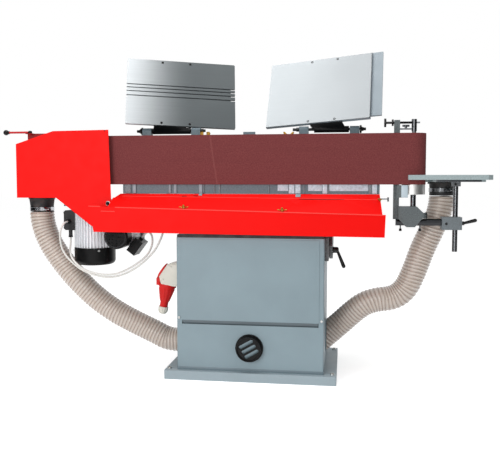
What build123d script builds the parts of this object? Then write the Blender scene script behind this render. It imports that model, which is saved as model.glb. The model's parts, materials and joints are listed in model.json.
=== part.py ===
"""Edge sander with a tilting, oscillating belt head on a sheet-steel stand.

Millimetres, +X to the operator's right along the belt, +Y away from the operator, +Z up.
The origin lies on the floor under the middle of the base pan.
"""
import math
import os
from build123d import *

# Abrasive belt and its two drums
belt_width = 200
belt_bottom = 783
belt_thickness = 1.5
belt_front = -143
running_gap = 0.3
drive_x = -687
drive_radius = 65
idler_x = 638
idler_radius = 45
belt_top = belt_bottom + belt_width
drive_outer = drive_radius + running_gap + belt_thickness
idler_outer = idler_radius + running_gap + belt_thickness
drive_y = belt_front + drive_outer
idler_y = belt_front + idler_outer

# Stand
base_width = 690
base_depth = 462
base_height = 36
base_sheet = 3
floor_hole_x = 656
floor_hole_y = 402
floor_hole_radius = 7
cabinet_half = 295
cabinet_front = -209
cabinet_back = 205
cabinet_top = 572
sheet = 2
deck_top = 584
outlet_height = 133
hose_radius = 51
hose_bore = 48
hose_area = math.pi * (hose_radius ** 2 - hose_bore ** 2)
left_entry = (0, 106)
right_entry = (30, 142)
guard_bar = 3

# Main motor
motor_foot = 443
motor_split = 516
motor_head = 680

# Tilting carrier
tilt_z = 650
shaft_radius = 20
fit = 0.05
column_x = 220
column_y = -112
column_radius = 12
clamp_radius = 160
clamp_angle = 35

# Skirt below the belt
skirt_front = -231
skirt_sheet = 2
crease_start = (-560, 692)
crease_end = (525, 667)
rim_start = (-632, 592)
rim_end = (522, 582)
slope_edge = (-138.3, 744.8)
slope_left = -572
slope_sheet = 2.4

# Bed inside the belt loop
bed_left = -540
bed_right = 506
bed_front = -133
bed_rear = -91
bed_bottom = 745
bed_top = 972

# Fences above the belt
pivot_y = -85
pivot_z = 1004
left_turn = 18.1
left_lean = 19.1
left_roll = -3.8
left_width = 452
left_height = 295
right_turn = -13.1
right_lean = 26.3
right_roll = 2.2
right_width = 428
right_height = 306
plate_thickness = 12
pad_thickness = 6
pivot_block = 12.5
rib_depth = 18

# End table
bar_y = -92
bar_z = 634
bar_radius = 14
post_x = 801
post_radius = 10
table_top = 820
table_thickness = 19

os.makedirs("parts", exist_ok=True)


def block(x0, x1, y0, y1, z0, z1, mode=Mode.ADD):
    """Place a box between two corners in the block that is open."""
    with Locations(((x0 + x1) / 2, (y0 + y1) / 2, (z0 + z1) / 2)):
        Box(x1 - x0, y1 - y0, z1 - z0, mode=mode)


def rod_x(x0, x1, y, z, radius, mode=Mode.ADD):
    """Place a cylinder along X in the block that is open."""
    with Locations(Location(((x0 + x1) / 2, y, z), (0, 90, 0))):
        Cylinder(radius, x1 - x0, mode=mode)


def rod_y(x, y0, y1, z, radius, mode=Mode.ADD):
    """Place a cylinder along Y in the block that is open."""
    with Locations(Location((x, (y0 + y1) / 2, z), (90, 0, 0))):
        Cylinder(radius, y1 - y0, mode=mode)


def rod_z(x, y, z0, z1, radius, mode=Mode.ADD):
    """Place an upright cylinder in the block that is open."""
    with Locations((x, y, (z0 + z1) / 2)):
        Cylinder(radius, z1 - z0, mode=mode)


def bend_radii(points):
    """Return a bend radius for each inner point of a route."""
    radii = []
    for before, here, after in zip(points, points[1:], points[2:]):
        into = Vector(*here) - Vector(*before)
        out = Vector(*after) - Vector(*here)
        turn = math.radians(into.get_angle(out))
        radii.append(0.45 * min(into.length, out.length) / math.tan(turn / 2))
    return radii


def crease_height(x):
    """Return the height of the skirt's crease, which falls towards the right."""
    share = (x - crease_start[0]) / (crease_end[0] - crease_start[0])
    return crease_start[1] + share * (crease_end[1] - crease_start[1])


def report_tube(name, line, tube, area, route):
    """Print a tube's bend radii and its volume beside its section times its length."""
    print(name, [round(radius) for radius in bend_radii(route)])
    print(name, "length", round(line.length), "volume ratio", round(tube.volume / (area * line.length), 4))


# Base pan: folded sheet, open underneath
with BuildPart() as base_pan:
    block(-base_width / 2, base_width / 2, -base_depth / 2, base_depth / 2, 0, base_height)
    upright = base_pan.edges().filter_by(Axis.Z)
    fillet(upright, 6)
    inner_x = base_width / 2 - base_sheet
    inner_y = base_depth / 2 - base_sheet
    block(-inner_x, inner_x, -inner_y, inner_y, 0, base_height - base_sheet, Mode.SUBTRACT)
    for side_x in (-1, 1):
        for side_y in (-1, 1):
            hole_x = side_x * floor_hole_x / 2
            hole_y = side_y * floor_hole_y / 2
            rod_z(hole_x, hole_y, base_height - 10, base_height + 1, floor_hole_radius, Mode.SUBTRACT)
base_pan.part.label = "base_pan"
export_step(base_pan.part, "parts/base_pan.step")

# Cabinet shell with the panel opening, the outlet hole and two hose holes
with BuildPart() as cabinet:
    block(-cabinet_half, cabinet_half, cabinet_front, cabinet_back, base_height, cabinet_top)
    corners = cabinet.edges().filter_by(Axis.Z)
    fillet(corners, 5)
    wall_x = cabinet_half - sheet
    block(-wall_x, wall_x, cabinet_front + sheet, cabinet_back - sheet, base_height + 3, cabinet_top - 3,
          Mode.SUBTRACT)
    foot_x = cabinet_half - 30
    block(-foot_x, foot_x, cabinet_front + 30, cabinet_back - 30, base_height, base_height + 3, Mode.SUBTRACT)
    block(-foot_x, foot_x, cabinet_front + 30, cabinet_back - 30, cabinet_top - 3, cabinet_top, Mode.SUBTRACT)
    block(-273.5, 273.5, cabinet_front - 1, cabinet_front + 5, 223.5, 552, Mode.SUBTRACT)
    rod_y(0, cabinet_front - 1, cabinet_front + 5, outlet_height, 50, Mode.SUBTRACT)
    rod_x(-cabinet_half - 1, -cabinet_half + 5, left_entry[0], left_entry[1], 50, Mode.SUBTRACT)
    rod_x(cabinet_half - 5, cabinet_half + 1, right_entry[0], right_entry[1], 50, Mode.SUBTRACT)
cabinet.part.label = "cabinet"
export_step(cabinet.part, "parts/cabinet.step")

# Upper front panel, its lower edge folded back into the cabinet as a sloping finger lip
with BuildPart() as front_panel:
    block(-276, 276, cabinet_front - sheet, cabinet_front, 240, 566)
    panel_corners = front_panel.edges().filter_by(Axis.Y)
    fillet(panel_corners, 4)
    with BuildSketch(Plane.YZ.offset(-272)):
        with BuildLine():
            Polyline((cabinet_front - 2, 240), (cabinet_front, 242), (cabinet_front + 14, 215.5),
                     (cabinet_front + 12, 214.5), close=True)
        make_face()
    extrude(amount=544)
front_panel.part.label = "front_panel"
export_step(front_panel.part, "parts/front_panel.step")

# Two pan-head screws beside the panel's lower corners
with BuildPart() as panel_screws:
    for side in (-1, 1):
        rod_y(side * 285.5, cabinet_front - 3, cabinet_front, 249, 5)
panel_screws.part.label = "panel_screws"
export_step(panel_screws.part, "parts/panel_screws.step")

# Deck plate that closes the cabinet
with BuildPart() as deck_plate:
    block(-293, 293, cabinet_front + 2, cabinet_back - 2, cabinet_top, deck_top)
deck_plate.part.label = "deck_plate"
export_step(deck_plate.part, "parts/deck_plate.step")

# Dust outlet on the front: flange, spigot and a slotted louvre disc
with BuildPart() as outlet_port:
    rod_y(0, cabinet_front - 5, cabinet_front, outlet_height, 56)
    rod_y(0, cabinet_front - 30, cabinet_front + 40, outlet_height, 49)
    rod_y(0, cabinet_front - 31, cabinet_front + 41, outlet_height, 46, Mode.SUBTRACT)
    rod_y(0, cabinet_front - 22, cabinet_front - 18, outlet_height, 46.5)
    with BuildSketch(Plane.XZ.offset(-cabinet_front + 22)):
        with Locations(Location((0, outlet_height, 0), (0, 0, 30))):
            with Locations((0, 22), (0, 0), (0, -22)):
                SlotOverall(64, 14)
    extrude(amount=-6, mode=Mode.SUBTRACT)
outlet_port.part.label = "outlet_port"
export_step(outlet_port.part, "parts/outlet_port.step")

# Plenum inside the cabinet: joins both hose entries to the outlet
with BuildPart() as dust_plenum:
    block(-120, 120, -70, 110, 52, 205)
    rod_x(-cabinet_half + 20, -110, left_entry[0], left_entry[1], 46)
    rod_x(110, cabinet_half - 20, right_entry[0], right_entry[1], 46)
    rod_y(0, cabinet_front + 42, -60, outlet_height, 48)
    block(-118, 118, -68, 108, 54, 203, Mode.SUBTRACT)
    rod_x(-cabinet_half + 19, -100, left_entry[0], left_entry[1], 44, Mode.SUBTRACT)
    rod_x(100, cabinet_half - 19, right_entry[0], right_entry[1], 44, Mode.SUBTRACT)
    rod_y(0, cabinet_front + 41, -50, outlet_height, 46, Mode.SUBTRACT)
    block(-80, -60, -40, 80, base_height + 3, 52)
    block(60, 80, -40, 80, base_height + 3, 52)
    block(-80, 80, -40, 80, base_height, base_height + 3)
dust_plenum.part.label = "dust_plenum"
export_step(dust_plenum.part, "parts/dust_plenum.step")

# Collars on the cabinet sides that take the hose ends, each with a cross guard in its mouth
with BuildPart() as wall_collars:
    rod_x(-cabinet_half - 4, -cabinet_half, left_entry[0], left_entry[1], 57)
    rod_x(-cabinet_half - 22, -cabinet_half + 19, left_entry[0], left_entry[1], 49.5)
    rod_x(-cabinet_half - 23, -cabinet_half + 20, left_entry[0], left_entry[1], 46.2, Mode.SUBTRACT)
    rod_x(cabinet_half, cabinet_half + 4, right_entry[0], right_entry[1], 68)
    rod_x(cabinet_half - 19, cabinet_half + 2, right_entry[0], right_entry[1], 49.5)
    rod_x(cabinet_half - 20, cabinet_half + 23, right_entry[0], right_entry[1], 46.2, Mode.SUBTRACT)
    for bar_start, (entry_y, entry_z) in ((-cabinet_half - 22, left_entry), (cabinet_half - 1, right_entry)):
        for half_y, half_z in ((47.5, guard_bar / 2), (guard_bar / 2, 47.5)):
            block(bar_start, bar_start + guard_bar, entry_y - half_y, entry_y + half_y, entry_z - half_z,
                  entry_z + half_z)
wall_collars.part.label = "wall_collars"
export_step(wall_collars.part, "parts/wall_collars.step")

# Bearing block for the tilt shaft on the deck's left end
with BuildPart() as trunnion_block:
    with BuildSketch(Plane.YZ.offset(-190)):
        with BuildLine():
            Polyline((-70, deck_top), (70, deck_top), (70, deck_top + 14), (38, tilt_z), (-38, tilt_z),
                     (-70, deck_top + 14), close=True)
        make_face()
        with Locations((0, tilt_z)):
            Circle(38)
        with Locations((0, tilt_z)):
            Circle(shaft_radius + fit, mode=Mode.SUBTRACT)
    extrude(amount=32)
trunnion_block.part.label = "trunnion_block"
export_step(trunnion_block.part, "parts/trunnion_block.step")

# Fixed quadrant plate on the cabinet's right side, also the right bearing
stud_y = -clamp_radius * math.sin(math.radians(clamp_angle))
stud_z = tilt_z - clamp_radius * math.cos(math.radians(clamp_angle))
with BuildPart() as quadrant_cheek:
    with BuildSketch(Plane.YZ.offset(cabinet_half)):
        with BuildLine():
            Polyline((-176, 482), (150, 482), (150, 575), (40, tilt_z), (-40, tilt_z), (-176, 572), close=True)
        make_face()
        with Locations((0, tilt_z)):
            Circle(40)
        with Locations((0, tilt_z)):
            Circle(shaft_radius + fit, mode=Mode.SUBTRACT)
        with Locations((stud_y, stud_z)):
            Circle(5 + fit, mode=Mode.SUBTRACT)
    extrude(amount=15)
quadrant_cheek.part.label = "quadrant_cheek"
export_step(quadrant_cheek.part, "parts/quadrant_cheek.step")

# Clamp lever of the tilt lock: stud, hub and handle
with BuildPart() as tilt_lever:
    rod_x(cabinet_half + 1, 330, stud_y, stud_z, 5)
    rod_x(324, 327, stud_y, stud_z, 13)
    rod_x(327, 348, stud_y, stud_z, 9)
    with BuildSketch(Plane(origin=(342, stud_y, stud_z), z_dir=(30, -6, -73))):
        Circle(6)
    extrude(amount=66)
    with Locations((342 + 30 * 0.9, stud_y - 6 * 0.9, stud_z - 73 * 0.9)):
        Sphere(7)
tilt_lever.part.label = "tilt_lever"
export_step(tilt_lever.part, "parts/tilt_lever.step")

# Mains inlet housing on the cabinet's left side
coupler_top = Vector(-366, -85, 366)
coupler_axis = Vector(-28, 0, -150)
mouth_slope = coupler_axis.X / coupler_axis.Z
mouth_left = coupler_top.Z + 0.1 + (coupler_top.X + 384) * mouth_slope
mouth_right = coupler_top.Z + 0.1 + (coupler_top.X + 330) * mouth_slope
with BuildPart() as mains_inlet:
    with BuildSketch(Plane.XZ.offset(44)):
        with BuildLine():
            Polyline((-cabinet_half, 458), (-332, 458), (-357, 451), (-392, 400), (-384, mouth_left),
                     (-330, mouth_right), (-cabinet_half, mouth_right), close=True)
        make_face()
    extrude(amount=82)
    inlet_edges = mains_inlet.edges().filter_by(Axis.Y).sort_by(Axis.X)[:4]
    fillet(inlet_edges, 5)
mains_inlet.part.label = "mains_inlet"
export_step(mains_inlet.part, "parts/mains_inlet.step")

# Mains coupler: tapered body on an axis that leans away from the cabinet
with BuildPart() as mains_coupler:
    with BuildSketch(Plane(origin=coupler_top, z_dir=coupler_axis)) as coupler_flange:
        Circle(38)
    extrude(amount=12)
    with Locations(Plane(origin=coupler_top, z_dir=coupler_axis).offset(12)):
        Cone(35, 19, 66, align=(Align.CENTER, Align.CENTER, Align.MIN))
    with Locations(Plane(origin=coupler_top, z_dir=coupler_axis).offset(78)):
        Cylinder(17, 22, align=(Align.CENTER, Align.CENTER, Align.MIN))
    for ear_y in (-104, -66):
        block(-409, -393, ear_y - 3, ear_y + 3, 362, 391)
        rod_y(-403, ear_y - 4, ear_y + 4, 386, 2.5 + fit, Mode.SUBTRACT)
mains_coupler.part.label = "mains_coupler"
export_step(mains_coupler.part, "parts/mains_coupler.step")

# Gland nut at the coupler's cable end
with BuildPart() as coupler_gland:
    with Locations(Plane(origin=coupler_top, z_dir=coupler_axis).offset(100)):
        Cylinder(21, 30, align=(Align.CENTER, Align.CENTER, Align.MIN))
    with Locations(Plane(origin=coupler_top, z_dir=coupler_axis).offset(112)):
        Cylinder(9, 20, align=(Align.CENTER, Align.CENTER, Align.MIN), mode=Mode.SUBTRACT)
coupler_gland.part.label = "coupler_gland"
export_step(coupler_gland.part, "parts/coupler_gland.step")

# Spring lid of the coupler, standing open beside the housing
lid_hinge = Vector(-403, -85, 386)
lid_reach = Vector(44, 0, 64)
with BuildPart() as coupler_lid:
    with BuildSketch(Plane(origin=lid_hinge + lid_reach * 0.5, x_dir=(0, 1, 0), z_dir=(-64, 0, 44))):
        Circle(34)
        with Locations((0, 32)):
            Rectangle(24, 14)
    extrude(amount=9)
    rod_y(-403, -100, -70, 386, 4)
    rod_y(-403, -107, -63, 386, 2.5)
coupler_lid.part.label = "coupler_lid"
export_step(coupler_lid.part, "parts/coupler_lid.step")

# Left dust hose, from the hood outlet down and round into the cabinet side
left_route = [(-934, -55, 664), (-934, -55, 618), (-900, -52, 525), (-845, -48, 445), (-782, -43, 368),
              (-704, -36, 291), (-614, -26, 226), (-524, -16, 178), (-436, -6, 136), (-384, 0, 106),
              (-318, 0, 106)]
with BuildPart() as hose_left:
    with BuildLine():
        left_line = FilletPolyline(*left_route, radius=bend_radii(left_route))
    with BuildSketch(Plane(origin=left_line @ 0, z_dir=left_line % 0)):
        Circle(hose_radius)
        Circle(hose_bore, mode=Mode.SUBTRACT)
    sweep()
report_tube("hose_left", left_line, hose_left.part, hose_area, left_route)
hose_left.part.label = "hose_left"
export_step(hose_left.part, "parts/hose_left.step")

# Right dust hose, from the end table down and round into the cabinet side
right_route = [(763, 20, 734), (763, 20, 690), (728, 20, 600), (689, 20, 516), (660, 20, 428),
               (624, 20, 345), (572, 20, 308), (505, 21, 301), (449, 23, 280), (398, 26, 236),
               (346, 29, 185), (270, 30, 118)]
with BuildPart() as hose_right:
    with BuildLine():
        right_line = FilletPolyline(*right_route, radius=bend_radii(right_route))
    with BuildSketch(Plane(origin=right_line @ 0, z_dir=right_line % 0)):
        Circle(hose_radius)
        Circle(hose_bore, mode=Mode.SUBTRACT)
    sweep()
    block(150, cabinet_half + 5, -60, 120, 20, 250, Mode.SUBTRACT)
report_tube("hose_right", right_line, hose_right.part, hose_area, right_route)
hose_right.part.label = "hose_right"
export_step(hose_right.part, "parts/hose_right.step")

# Tilt shaft
with BuildPart() as tilt_shaft:
    rod_x(-236, 340, 0, tilt_z, shaft_radius)
    rod_x(324, 336, 0, tilt_z, 30)
tilt_shaft.part.label = "tilt_shaft"
export_step(tilt_shaft.part, "parts/tilt_shaft.step")

# Saddle: two arms on the tilt shaft, a cross beam, two guide columns and the yoke arm
with BuildPart() as saddle:
    for side in (-1, 1):
        with BuildSketch(Plane.YZ.offset(side * column_x - 22)):
            with BuildLine():
                Polyline((-152, 690), (-152, 722), (-60, 722), (30, 668), (36, tilt_z), (26, 624), (-30, 622),
                         (-92, 690), close=True)
            make_face()
        extrude(amount=44)
    block(-262, 262, -152, -82, 690, 722)
    rod_x(-236, 250, 0, tilt_z, shaft_radius, Mode.SUBTRACT)
    for side in (-1, 1):
        rod_z(side * column_x, column_y, 720, 892, column_radius)
    block(-600, -240, 8, 30, 626, 646)
    block(-600, -500, 8, 30, 540, 646)
    block(-566.5, -533.5, 7, 31, 562.5, 575.5, Mode.SUBTRACT)
saddle.part.label = "saddle"
export_step(saddle.part, "parts/saddle.step")

# Swinging quadrant with its arc slot, carried by the tilt shaft
slot_path = CenterArc((0, tilt_z), clamp_radius, -128, 96)
with BuildPart() as quadrant_swing:
    with BuildSketch(Plane.YZ.offset(310.5)):
        with BuildLine():
            Line((0, tilt_z + 34), (-140, 540))
            Line((-140, 540), (-127, 526))
            ThreePointArc((-127, 526), (0, 474), (164, 586))
            Line((164, 586), (0, tilt_z + 34))
        make_face()
        SlotArc(slot_path, 13, mode=Mode.SUBTRACT)
        with Locations((0, tilt_z)):
            Circle(shaft_radius, mode=Mode.SUBTRACT)
    extrude(amount=13)
quadrant_swing.part.label = "quadrant_swing"
export_step(quadrant_swing.part, "parts/quadrant_swing.step")

# Skirt: folded dust tray below the belt
with BuildPart() as skirt:
    with BuildSketch(Plane.XZ.offset(-skirt_front - skirt_sheet)):
        with BuildLine():
            Polyline((-653, 696), (-602, 695), crease_start, crease_end, rim_end, rim_start, close=True)
        make_face()
    extrude(amount=skirt_sheet)
    for end_x in (slope_left, crease_end[0]):
        foot_z = crease_height(end_x)
        with BuildSketch(Plane.YZ.offset(end_x)):
            with BuildLine():
                Polyline((skirt_front, foot_z), slope_edge, (slope_edge[0], slope_edge[1] - slope_sheet),
                         (skirt_front, foot_z - slope_sheet), close=True)
            make_face()
    loft(ruled=True)
    slope = Plane(origin=(0, skirt_front, 679), x_dir=(1, 0, 0), z_dir=(0, -66, 93))
    with BuildSketch(slope):
        with Locations((-275, 97), (-228, 99)):
            SlotOverall(22, 6)
        with Locations((281, 82)):
            SlotOverall(178, 5)
    extrude(amount=7, both=True, mode=Mode.SUBTRACT)
    with BuildSketch(Plane.XY.offset(650)):
        with BuildLine():
            Polyline((slope_left - 2, -166), (-566, -166), (-549, -138), (-549, -130), (slope_left - 2, -130),
                     close=True)
        make_face()
        with BuildLine():
            Polyline((513, -228.9), (530, -228.9), (530, -130), (505.5, -130), close=True)
        make_face()
    extrude(amount=110, mode=Mode.SUBTRACT)
    with BuildSketch(Plane.XZ.offset(211)):
        with BuildLine():
            Polyline(rim_start, rim_end, (rim_end[0], rim_end[1] + 2), (rim_start[0], rim_start[1] + 2), close=True)
        make_face()
    extrude(amount=20)
    with BuildSketch(Plane.YZ.offset(520)):
        with BuildLine():
            Polyline((skirt_front, rim_end[1] + 1), (-160, rim_end[1] + 1), (-160, 660), (skirt_front, 665),
                     close=True)
        make_face()
    extrude(amount=2)
    block(-632, -630, skirt_front, -170, rim_start[1] + 1, 668)
    for stand_x in (-240, 240):
        block(stand_x - 15, stand_x + 15, skirt_front, -152, 640, 643)
        block(stand_x - 15, stand_x + 15, -155, -152, 640, 712)
skirt.part.label = "skirt"
export_step(skirt.part, "parts/skirt.step")

# Brass wing nuts that hold the skirt: flat wings along the crease and a stud that stands up
with BuildPart() as skirt_wing_nuts:
    for nut_x in (-260, 131):
        foot_z = crease_height(nut_x)
        incline = math.atan2(slope_edge[1] - foot_z, slope_edge[0] - skirt_front)
        seat_y = skirt_front + 9 * math.cos(incline) - 0.1
        seat_z = foot_z + 9 * math.sin(incline) + 0.1
        nut_plane = Plane(origin=(nut_x, seat_y, seat_z), x_dir=(1, 0, 0),
                          z_dir=(0, -math.sin(incline), math.cos(incline)))
        with Locations(nut_plane):
            Cylinder(7, 7, align=(Align.CENTER, Align.CENTER, Align.MIN))
        with Locations(nut_plane.offset(7)):
            Cylinder(4, 9, align=(Align.CENTER, Align.CENTER, Align.MIN))
        with Locations(nut_plane.offset(2)):
            Box(40, 7, 4, align=(Align.CENTER, Align.CENTER, Align.MIN))
skirt_wing_nuts.part.label = "skirt_wing_nuts"
export_step(skirt_wing_nuts.part, "parts/skirt_wing_nuts.step")

# Bed: ribbed casting inside the belt loop with guide bosses and the motor arm
with BuildPart() as bed:
    block(bed_left, bed_right, bed_front, bed_front + 12, bed_bottom, bed_top)
    block(bed_left, bed_right, bed_front, bed_rear, bed_bottom, bed_bottom + 14)
    block(bed_left, bed_right, bed_front, bed_rear, bed_top - 14, bed_top)
    for rib in range(10):
        rib_x = bed_left + 6 + rib * (bed_right - bed_left - 12) / 9
        block(rib_x - 6, rib_x + 6, bed_front, bed_rear, bed_bottom, bed_top)
    for side in (-1, 1):
        rod_z(side * column_x, column_y, bed_bottom - 10, 902, 20.5)
        rod_z(side * column_x, column_y, bed_bottom - 11, 897, column_radius + fit, Mode.SUBTRACT)
    block(-40, 8, -104, bed_rear, bed_top, 996)
    block(-530, -440, -130, -95, 716, bed_bottom)
    block(-792, -430, -150, -4, 692, 718)
    with Locations((drive_x, drive_y, 742)):
        Cylinder(46, 50)
    rod_z(drive_x, drive_y, 690, 768, 15 + fit, Mode.SUBTRACT)
    rod_z(-352, -115, 733, bed_bottom + 2, 9)
    for guide_z in (820, 930):
        rod_x(bed_right - 110, bed_right, idler_y, guide_z, 17.5)
        rod_x(bed_right - 112, bed_right + 1, idler_y, guide_z, 10 + fit, Mode.SUBTRACT)
bed.part.label = "bed"
export_step(bed.part, "parts/bed.step")

# Platen behind the working run of the belt
with BuildPart() as platen:
    block(-596, 600, belt_front + belt_thickness + running_gap, bed_front, 788, 978)
platen.part.label = "platen"
export_step(platen.part, "parts/platen.step")

# Abrasive belt
with BuildPart() as belt:
    with BuildSketch(Plane.XY.offset(belt_bottom)):
        with Locations((drive_x, drive_y)):
            Circle(drive_outer)
        with Locations((idler_x, idler_y)):
            Circle(idler_outer)
        make_hull()
    extrude(amount=belt_width)
    with BuildSketch(Plane.XY.offset(belt_bottom)):
        with Locations((drive_x, drive_y)):
            Circle(drive_outer - belt_thickness)
        with Locations((idler_x, idler_y)):
            Circle(idler_outer - belt_thickness)
        make_hull()
    extrude(amount=belt_width, mode=Mode.SUBTRACT)
belt.part.label = "belt"
export_step(belt.part, "parts/belt.step")

# Main motor: finned frame with its flange
with BuildPart() as motor_body:
    rod_z(drive_x, drive_y, motor_head, 692, 84)
    rod_z(drive_x, drive_y, motor_split, motor_head, 74)
    with BuildSketch(Plane.XY.offset(motor_split + 2)):
        with Locations((drive_x, drive_y)):
            with PolarLocations(79, 40):
                Rectangle(12, 3.2)
    extrude(amount=motor_head - motor_split - 2)
    rod_z(drive_x, drive_y, 640, 693, 17, Mode.SUBTRACT)
motor_body.part.label = "motor_body"
export_step(motor_body.part, "parts/motor_body.step")

# Fan cowl of the main motor
with BuildPart() as motor_cowl:
    rod_z(drive_x, drive_y, motor_foot, motor_split, 86)
    cowl_rim = motor_cowl.edges().filter_by(GeomType.CIRCLE).sort_by(Axis.Z)[0]
    fillet(cowl_rim, 20)
    rod_z(drive_x, drive_y, motor_foot + 20, motor_split + 1, 82.5, Mode.SUBTRACT)
    rod_z(drive_x, drive_y, motor_foot + 4, motor_foot + 21, 62, Mode.SUBTRACT)
    with BuildSketch(Plane.XY.offset(motor_foot - 2)):
        with Locations((drive_x, drive_y)):
            for ring, count in ((20, 6), (35, 10), (50, 14)):
                with PolarLocations(ring, count):
                    Circle(4)
    extrude(amount=10, mode=Mode.SUBTRACT)
    rod_z(drive_x, drive_y, motor_split - 4, motor_split, 84)
motor_cowl.part.label = "motor_cowl"
export_step(motor_cowl.part, "parts/motor_cowl.step")

# Terminal box of the main motor
with BuildPart() as motor_box:
    block(-800, -750, -130, -30, 590, 674)
    box_edges = motor_box.edges().filter_by(Axis.Y)
    fillet(box_edges, 6)
    rod_z(drive_x, drive_y, 585, 680, 85.2, Mode.SUBTRACT)
    rod_z(-777, -121, 566, 592, 8)
    rod_y(-781, -138, -129, 627, 9)
motor_box.part.label = "motor_box"
export_step(motor_box.part, "parts/motor_box.step")

# Oscillation gear motor under the motor arm
osc_x = -550
osc_z = 569
with BuildPart() as osc_motor:
    rod_y(osc_x, -146, -62, osc_z, 44)
    with BuildSketch(Plane.XZ.offset(64)):
        with Locations((osc_x, osc_z)):
            with PolarLocations(45, 28):
                Rectangle(8, 2.6)
    extrude(amount=80)
    block(osc_x - 42, osc_x + 42, -62, -8, osc_z - 42, osc_z + 42)
    block(osc_x - 36, osc_x + 36, -62, -14, osc_z + 40, 692)
    rod_y(osc_x, -40, -7, osc_z, 10 + fit, Mode.SUBTRACT)
osc_motor.part.label = "osc_motor"
export_step(osc_motor.part, "parts/osc_motor.step")

# Fan cowl of the oscillation motor
with BuildPart() as osc_cowl:
    rod_y(osc_x, -204, -146, osc_z, 50)
    small_rim = osc_cowl.edges().filter_by(GeomType.CIRCLE).sort_by(Axis.Y)[0]
    fillet(small_rim, 8)
    rod_y(osc_x, -200, -145, osc_z, 47, Mode.SUBTRACT)
    with BuildSketch(Plane.XZ.offset(199)):
        with Locations((osc_x, osc_z)):
            for ring, count in ((14, 5), (26, 9), (37, 13)):
                with PolarLocations(ring, count):
                    Circle(3)
    extrude(amount=8, mode=Mode.SUBTRACT)
    rod_y(osc_x, -150, -146, osc_z, 48)
osc_cowl.part.label = "osc_cowl"
export_step(osc_cowl.part, "parts/osc_cowl.step")

# Terminal box of the oscillation motor, turned down to the right
with BuildPart() as osc_box:
    with Locations(Location((osc_x + 58, -100, osc_z - 44), (0, 37, 0))):
        Box(40, 76, 66)
    rod_y(osc_x, -150, -50, osc_z, 50.2, Mode.SUBTRACT)
    with Locations(Location((osc_x + 74, -100, osc_z - 16), (0, 37, 0))):
        Cylinder(9, 18)
osc_box.part.label = "osc_box"
export_step(osc_box.part, "parts/osc_box.step")

# Hood over the drive drum: folded front, end, slope, top and floor
with BuildPart() as hood:
    with BuildSketch(Plane.XZ.offset(-8)):
        with BuildLine():
            Polyline((-991, 727), (-991, 951), (-827, 1003), (-588, 1006), (-580, 727), close=True)
        make_face()
    extrude(amount=176)
    with BuildSketch(Plane.XZ.offset(-9)):
        with BuildLine():
            Polyline((-989, 729), (-989, 949.5), (-827, 1001), (-570, 1004), (-570, 720), (-819, 720),
                     (-819, 729), close=True)
        make_face()
    extrude(amount=175, mode=Mode.SUBTRACT)
    with BuildSketch(Plane.XZ.offset(166)):
        with BuildLine():
            Polyline((-582, 800), (-579, 690), (-585, 660), (-636, 612), (-664, 610), (-819, 728), (-819, 800),
                     close=True)
        make_face()
    extrude(amount=2)
    with BuildSketch(Plane.XY.offset(720)):
        with BuildLine():
            Polyline((-588, -166), (-560, -166), (-560, 20), (-660, 20), close=True)
        make_face()
    extrude(amount=300, mode=Mode.SUBTRACT)
    rod_z(-934, -55, 720, 735, 46, Mode.SUBTRACT)
    block(-606, -600, -170, -150, 1000, 1010, Mode.SUBTRACT)
    block(-612, -584, -166, -150, 690, 718)
    rod_y(-593, -170, -149, 705, 5, Mode.SUBTRACT)
hood.part.label = "hood"
export_step(hood.part, "parts/hood.step")

# Back plate of the hood with the tab that carries the latch lever
with BuildPart() as hood_back:
    with BuildSketch(Plane.XZ.offset(-11)):
        with BuildLine():
            Polyline((-1026, 727), (-1026, 1007), (-660, 1007), (-660, 718), (-792, 718), (-830, 727), close=True)
        make_face()
    extrude(amount=3)
    block(-1026, -992, -14, 11, 1004, 1007)
    block(-792, -662, -4, 8, 692, 722)
    rod_z(-1009, -2, 1000, 1010, 4 + fit, Mode.SUBTRACT)
hood_back.part.label = "hood_back"
export_step(hood_back.part, "parts/hood_back.step")

# Socket screw and washer at the hood's lower right corner
with BuildPart() as hood_bolt:
    rod_y(-593, -170, -168, 705, 10)
    rod_y(-593, -176, -170, 705, 6)
    rod_y(-593, -170, -150, 705, 4.9)
    rod_y(-593, -177, -172, 705, 3, Mode.SUBTRACT)
hood_bolt.part.label = "hood_bolt"
export_step(hood_bolt.part, "parts/hood_bolt.step")

# Latch lever on the hood with its ball
with BuildPart() as hood_lever:
    rod_z(-1009, -2, 1007.3, 1019, 9)
    dome_edge = hood_lever.edges().filter_by(GeomType.CIRCLE).sort_by(Axis.Z)[-1]
    fillet(dome_edge, 5)
    rod_z(-1009, -2, 1001, 1008, 4)
    rod_x(-1116, -1009, -2, 1011.5, 3.8)
    with Locations(Location((-1122, -2, 1011.5), (0, 90, 0))):
        Sphere(12)
hood_lever.part.label = "hood_lever"
export_step(hood_lever.part, "parts/hood_lever.step")

# Rubber collar under the hood
with BuildPart() as hood_outlet:
    rod_z(-934, -55, 720, 727, 56)
    with Locations((-934, -55, 705)):
        Cone(49, 53, 30)
    rod_z(-934, -55, 667, 690, 49)
    rod_z(-934, -55, 660, 730, 45, Mode.SUBTRACT)
hood_outlet.part.label = "hood_outlet"
export_step(hood_outlet.part, "parts/hood_outlet.step")

# Steel clamp band round the collar
with BuildPart() as outlet_clamp:
    rod_z(-934, -55, 669, 686, 52.5)
    rod_z(-934, -55, 668, 687, 50, Mode.SUBTRACT)
    block(-904, -890, -112, -98, 671, 684)
outlet_clamp.part.label = "outlet_clamp"
export_step(outlet_clamp.part, "parts/outlet_clamp.step")

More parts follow.
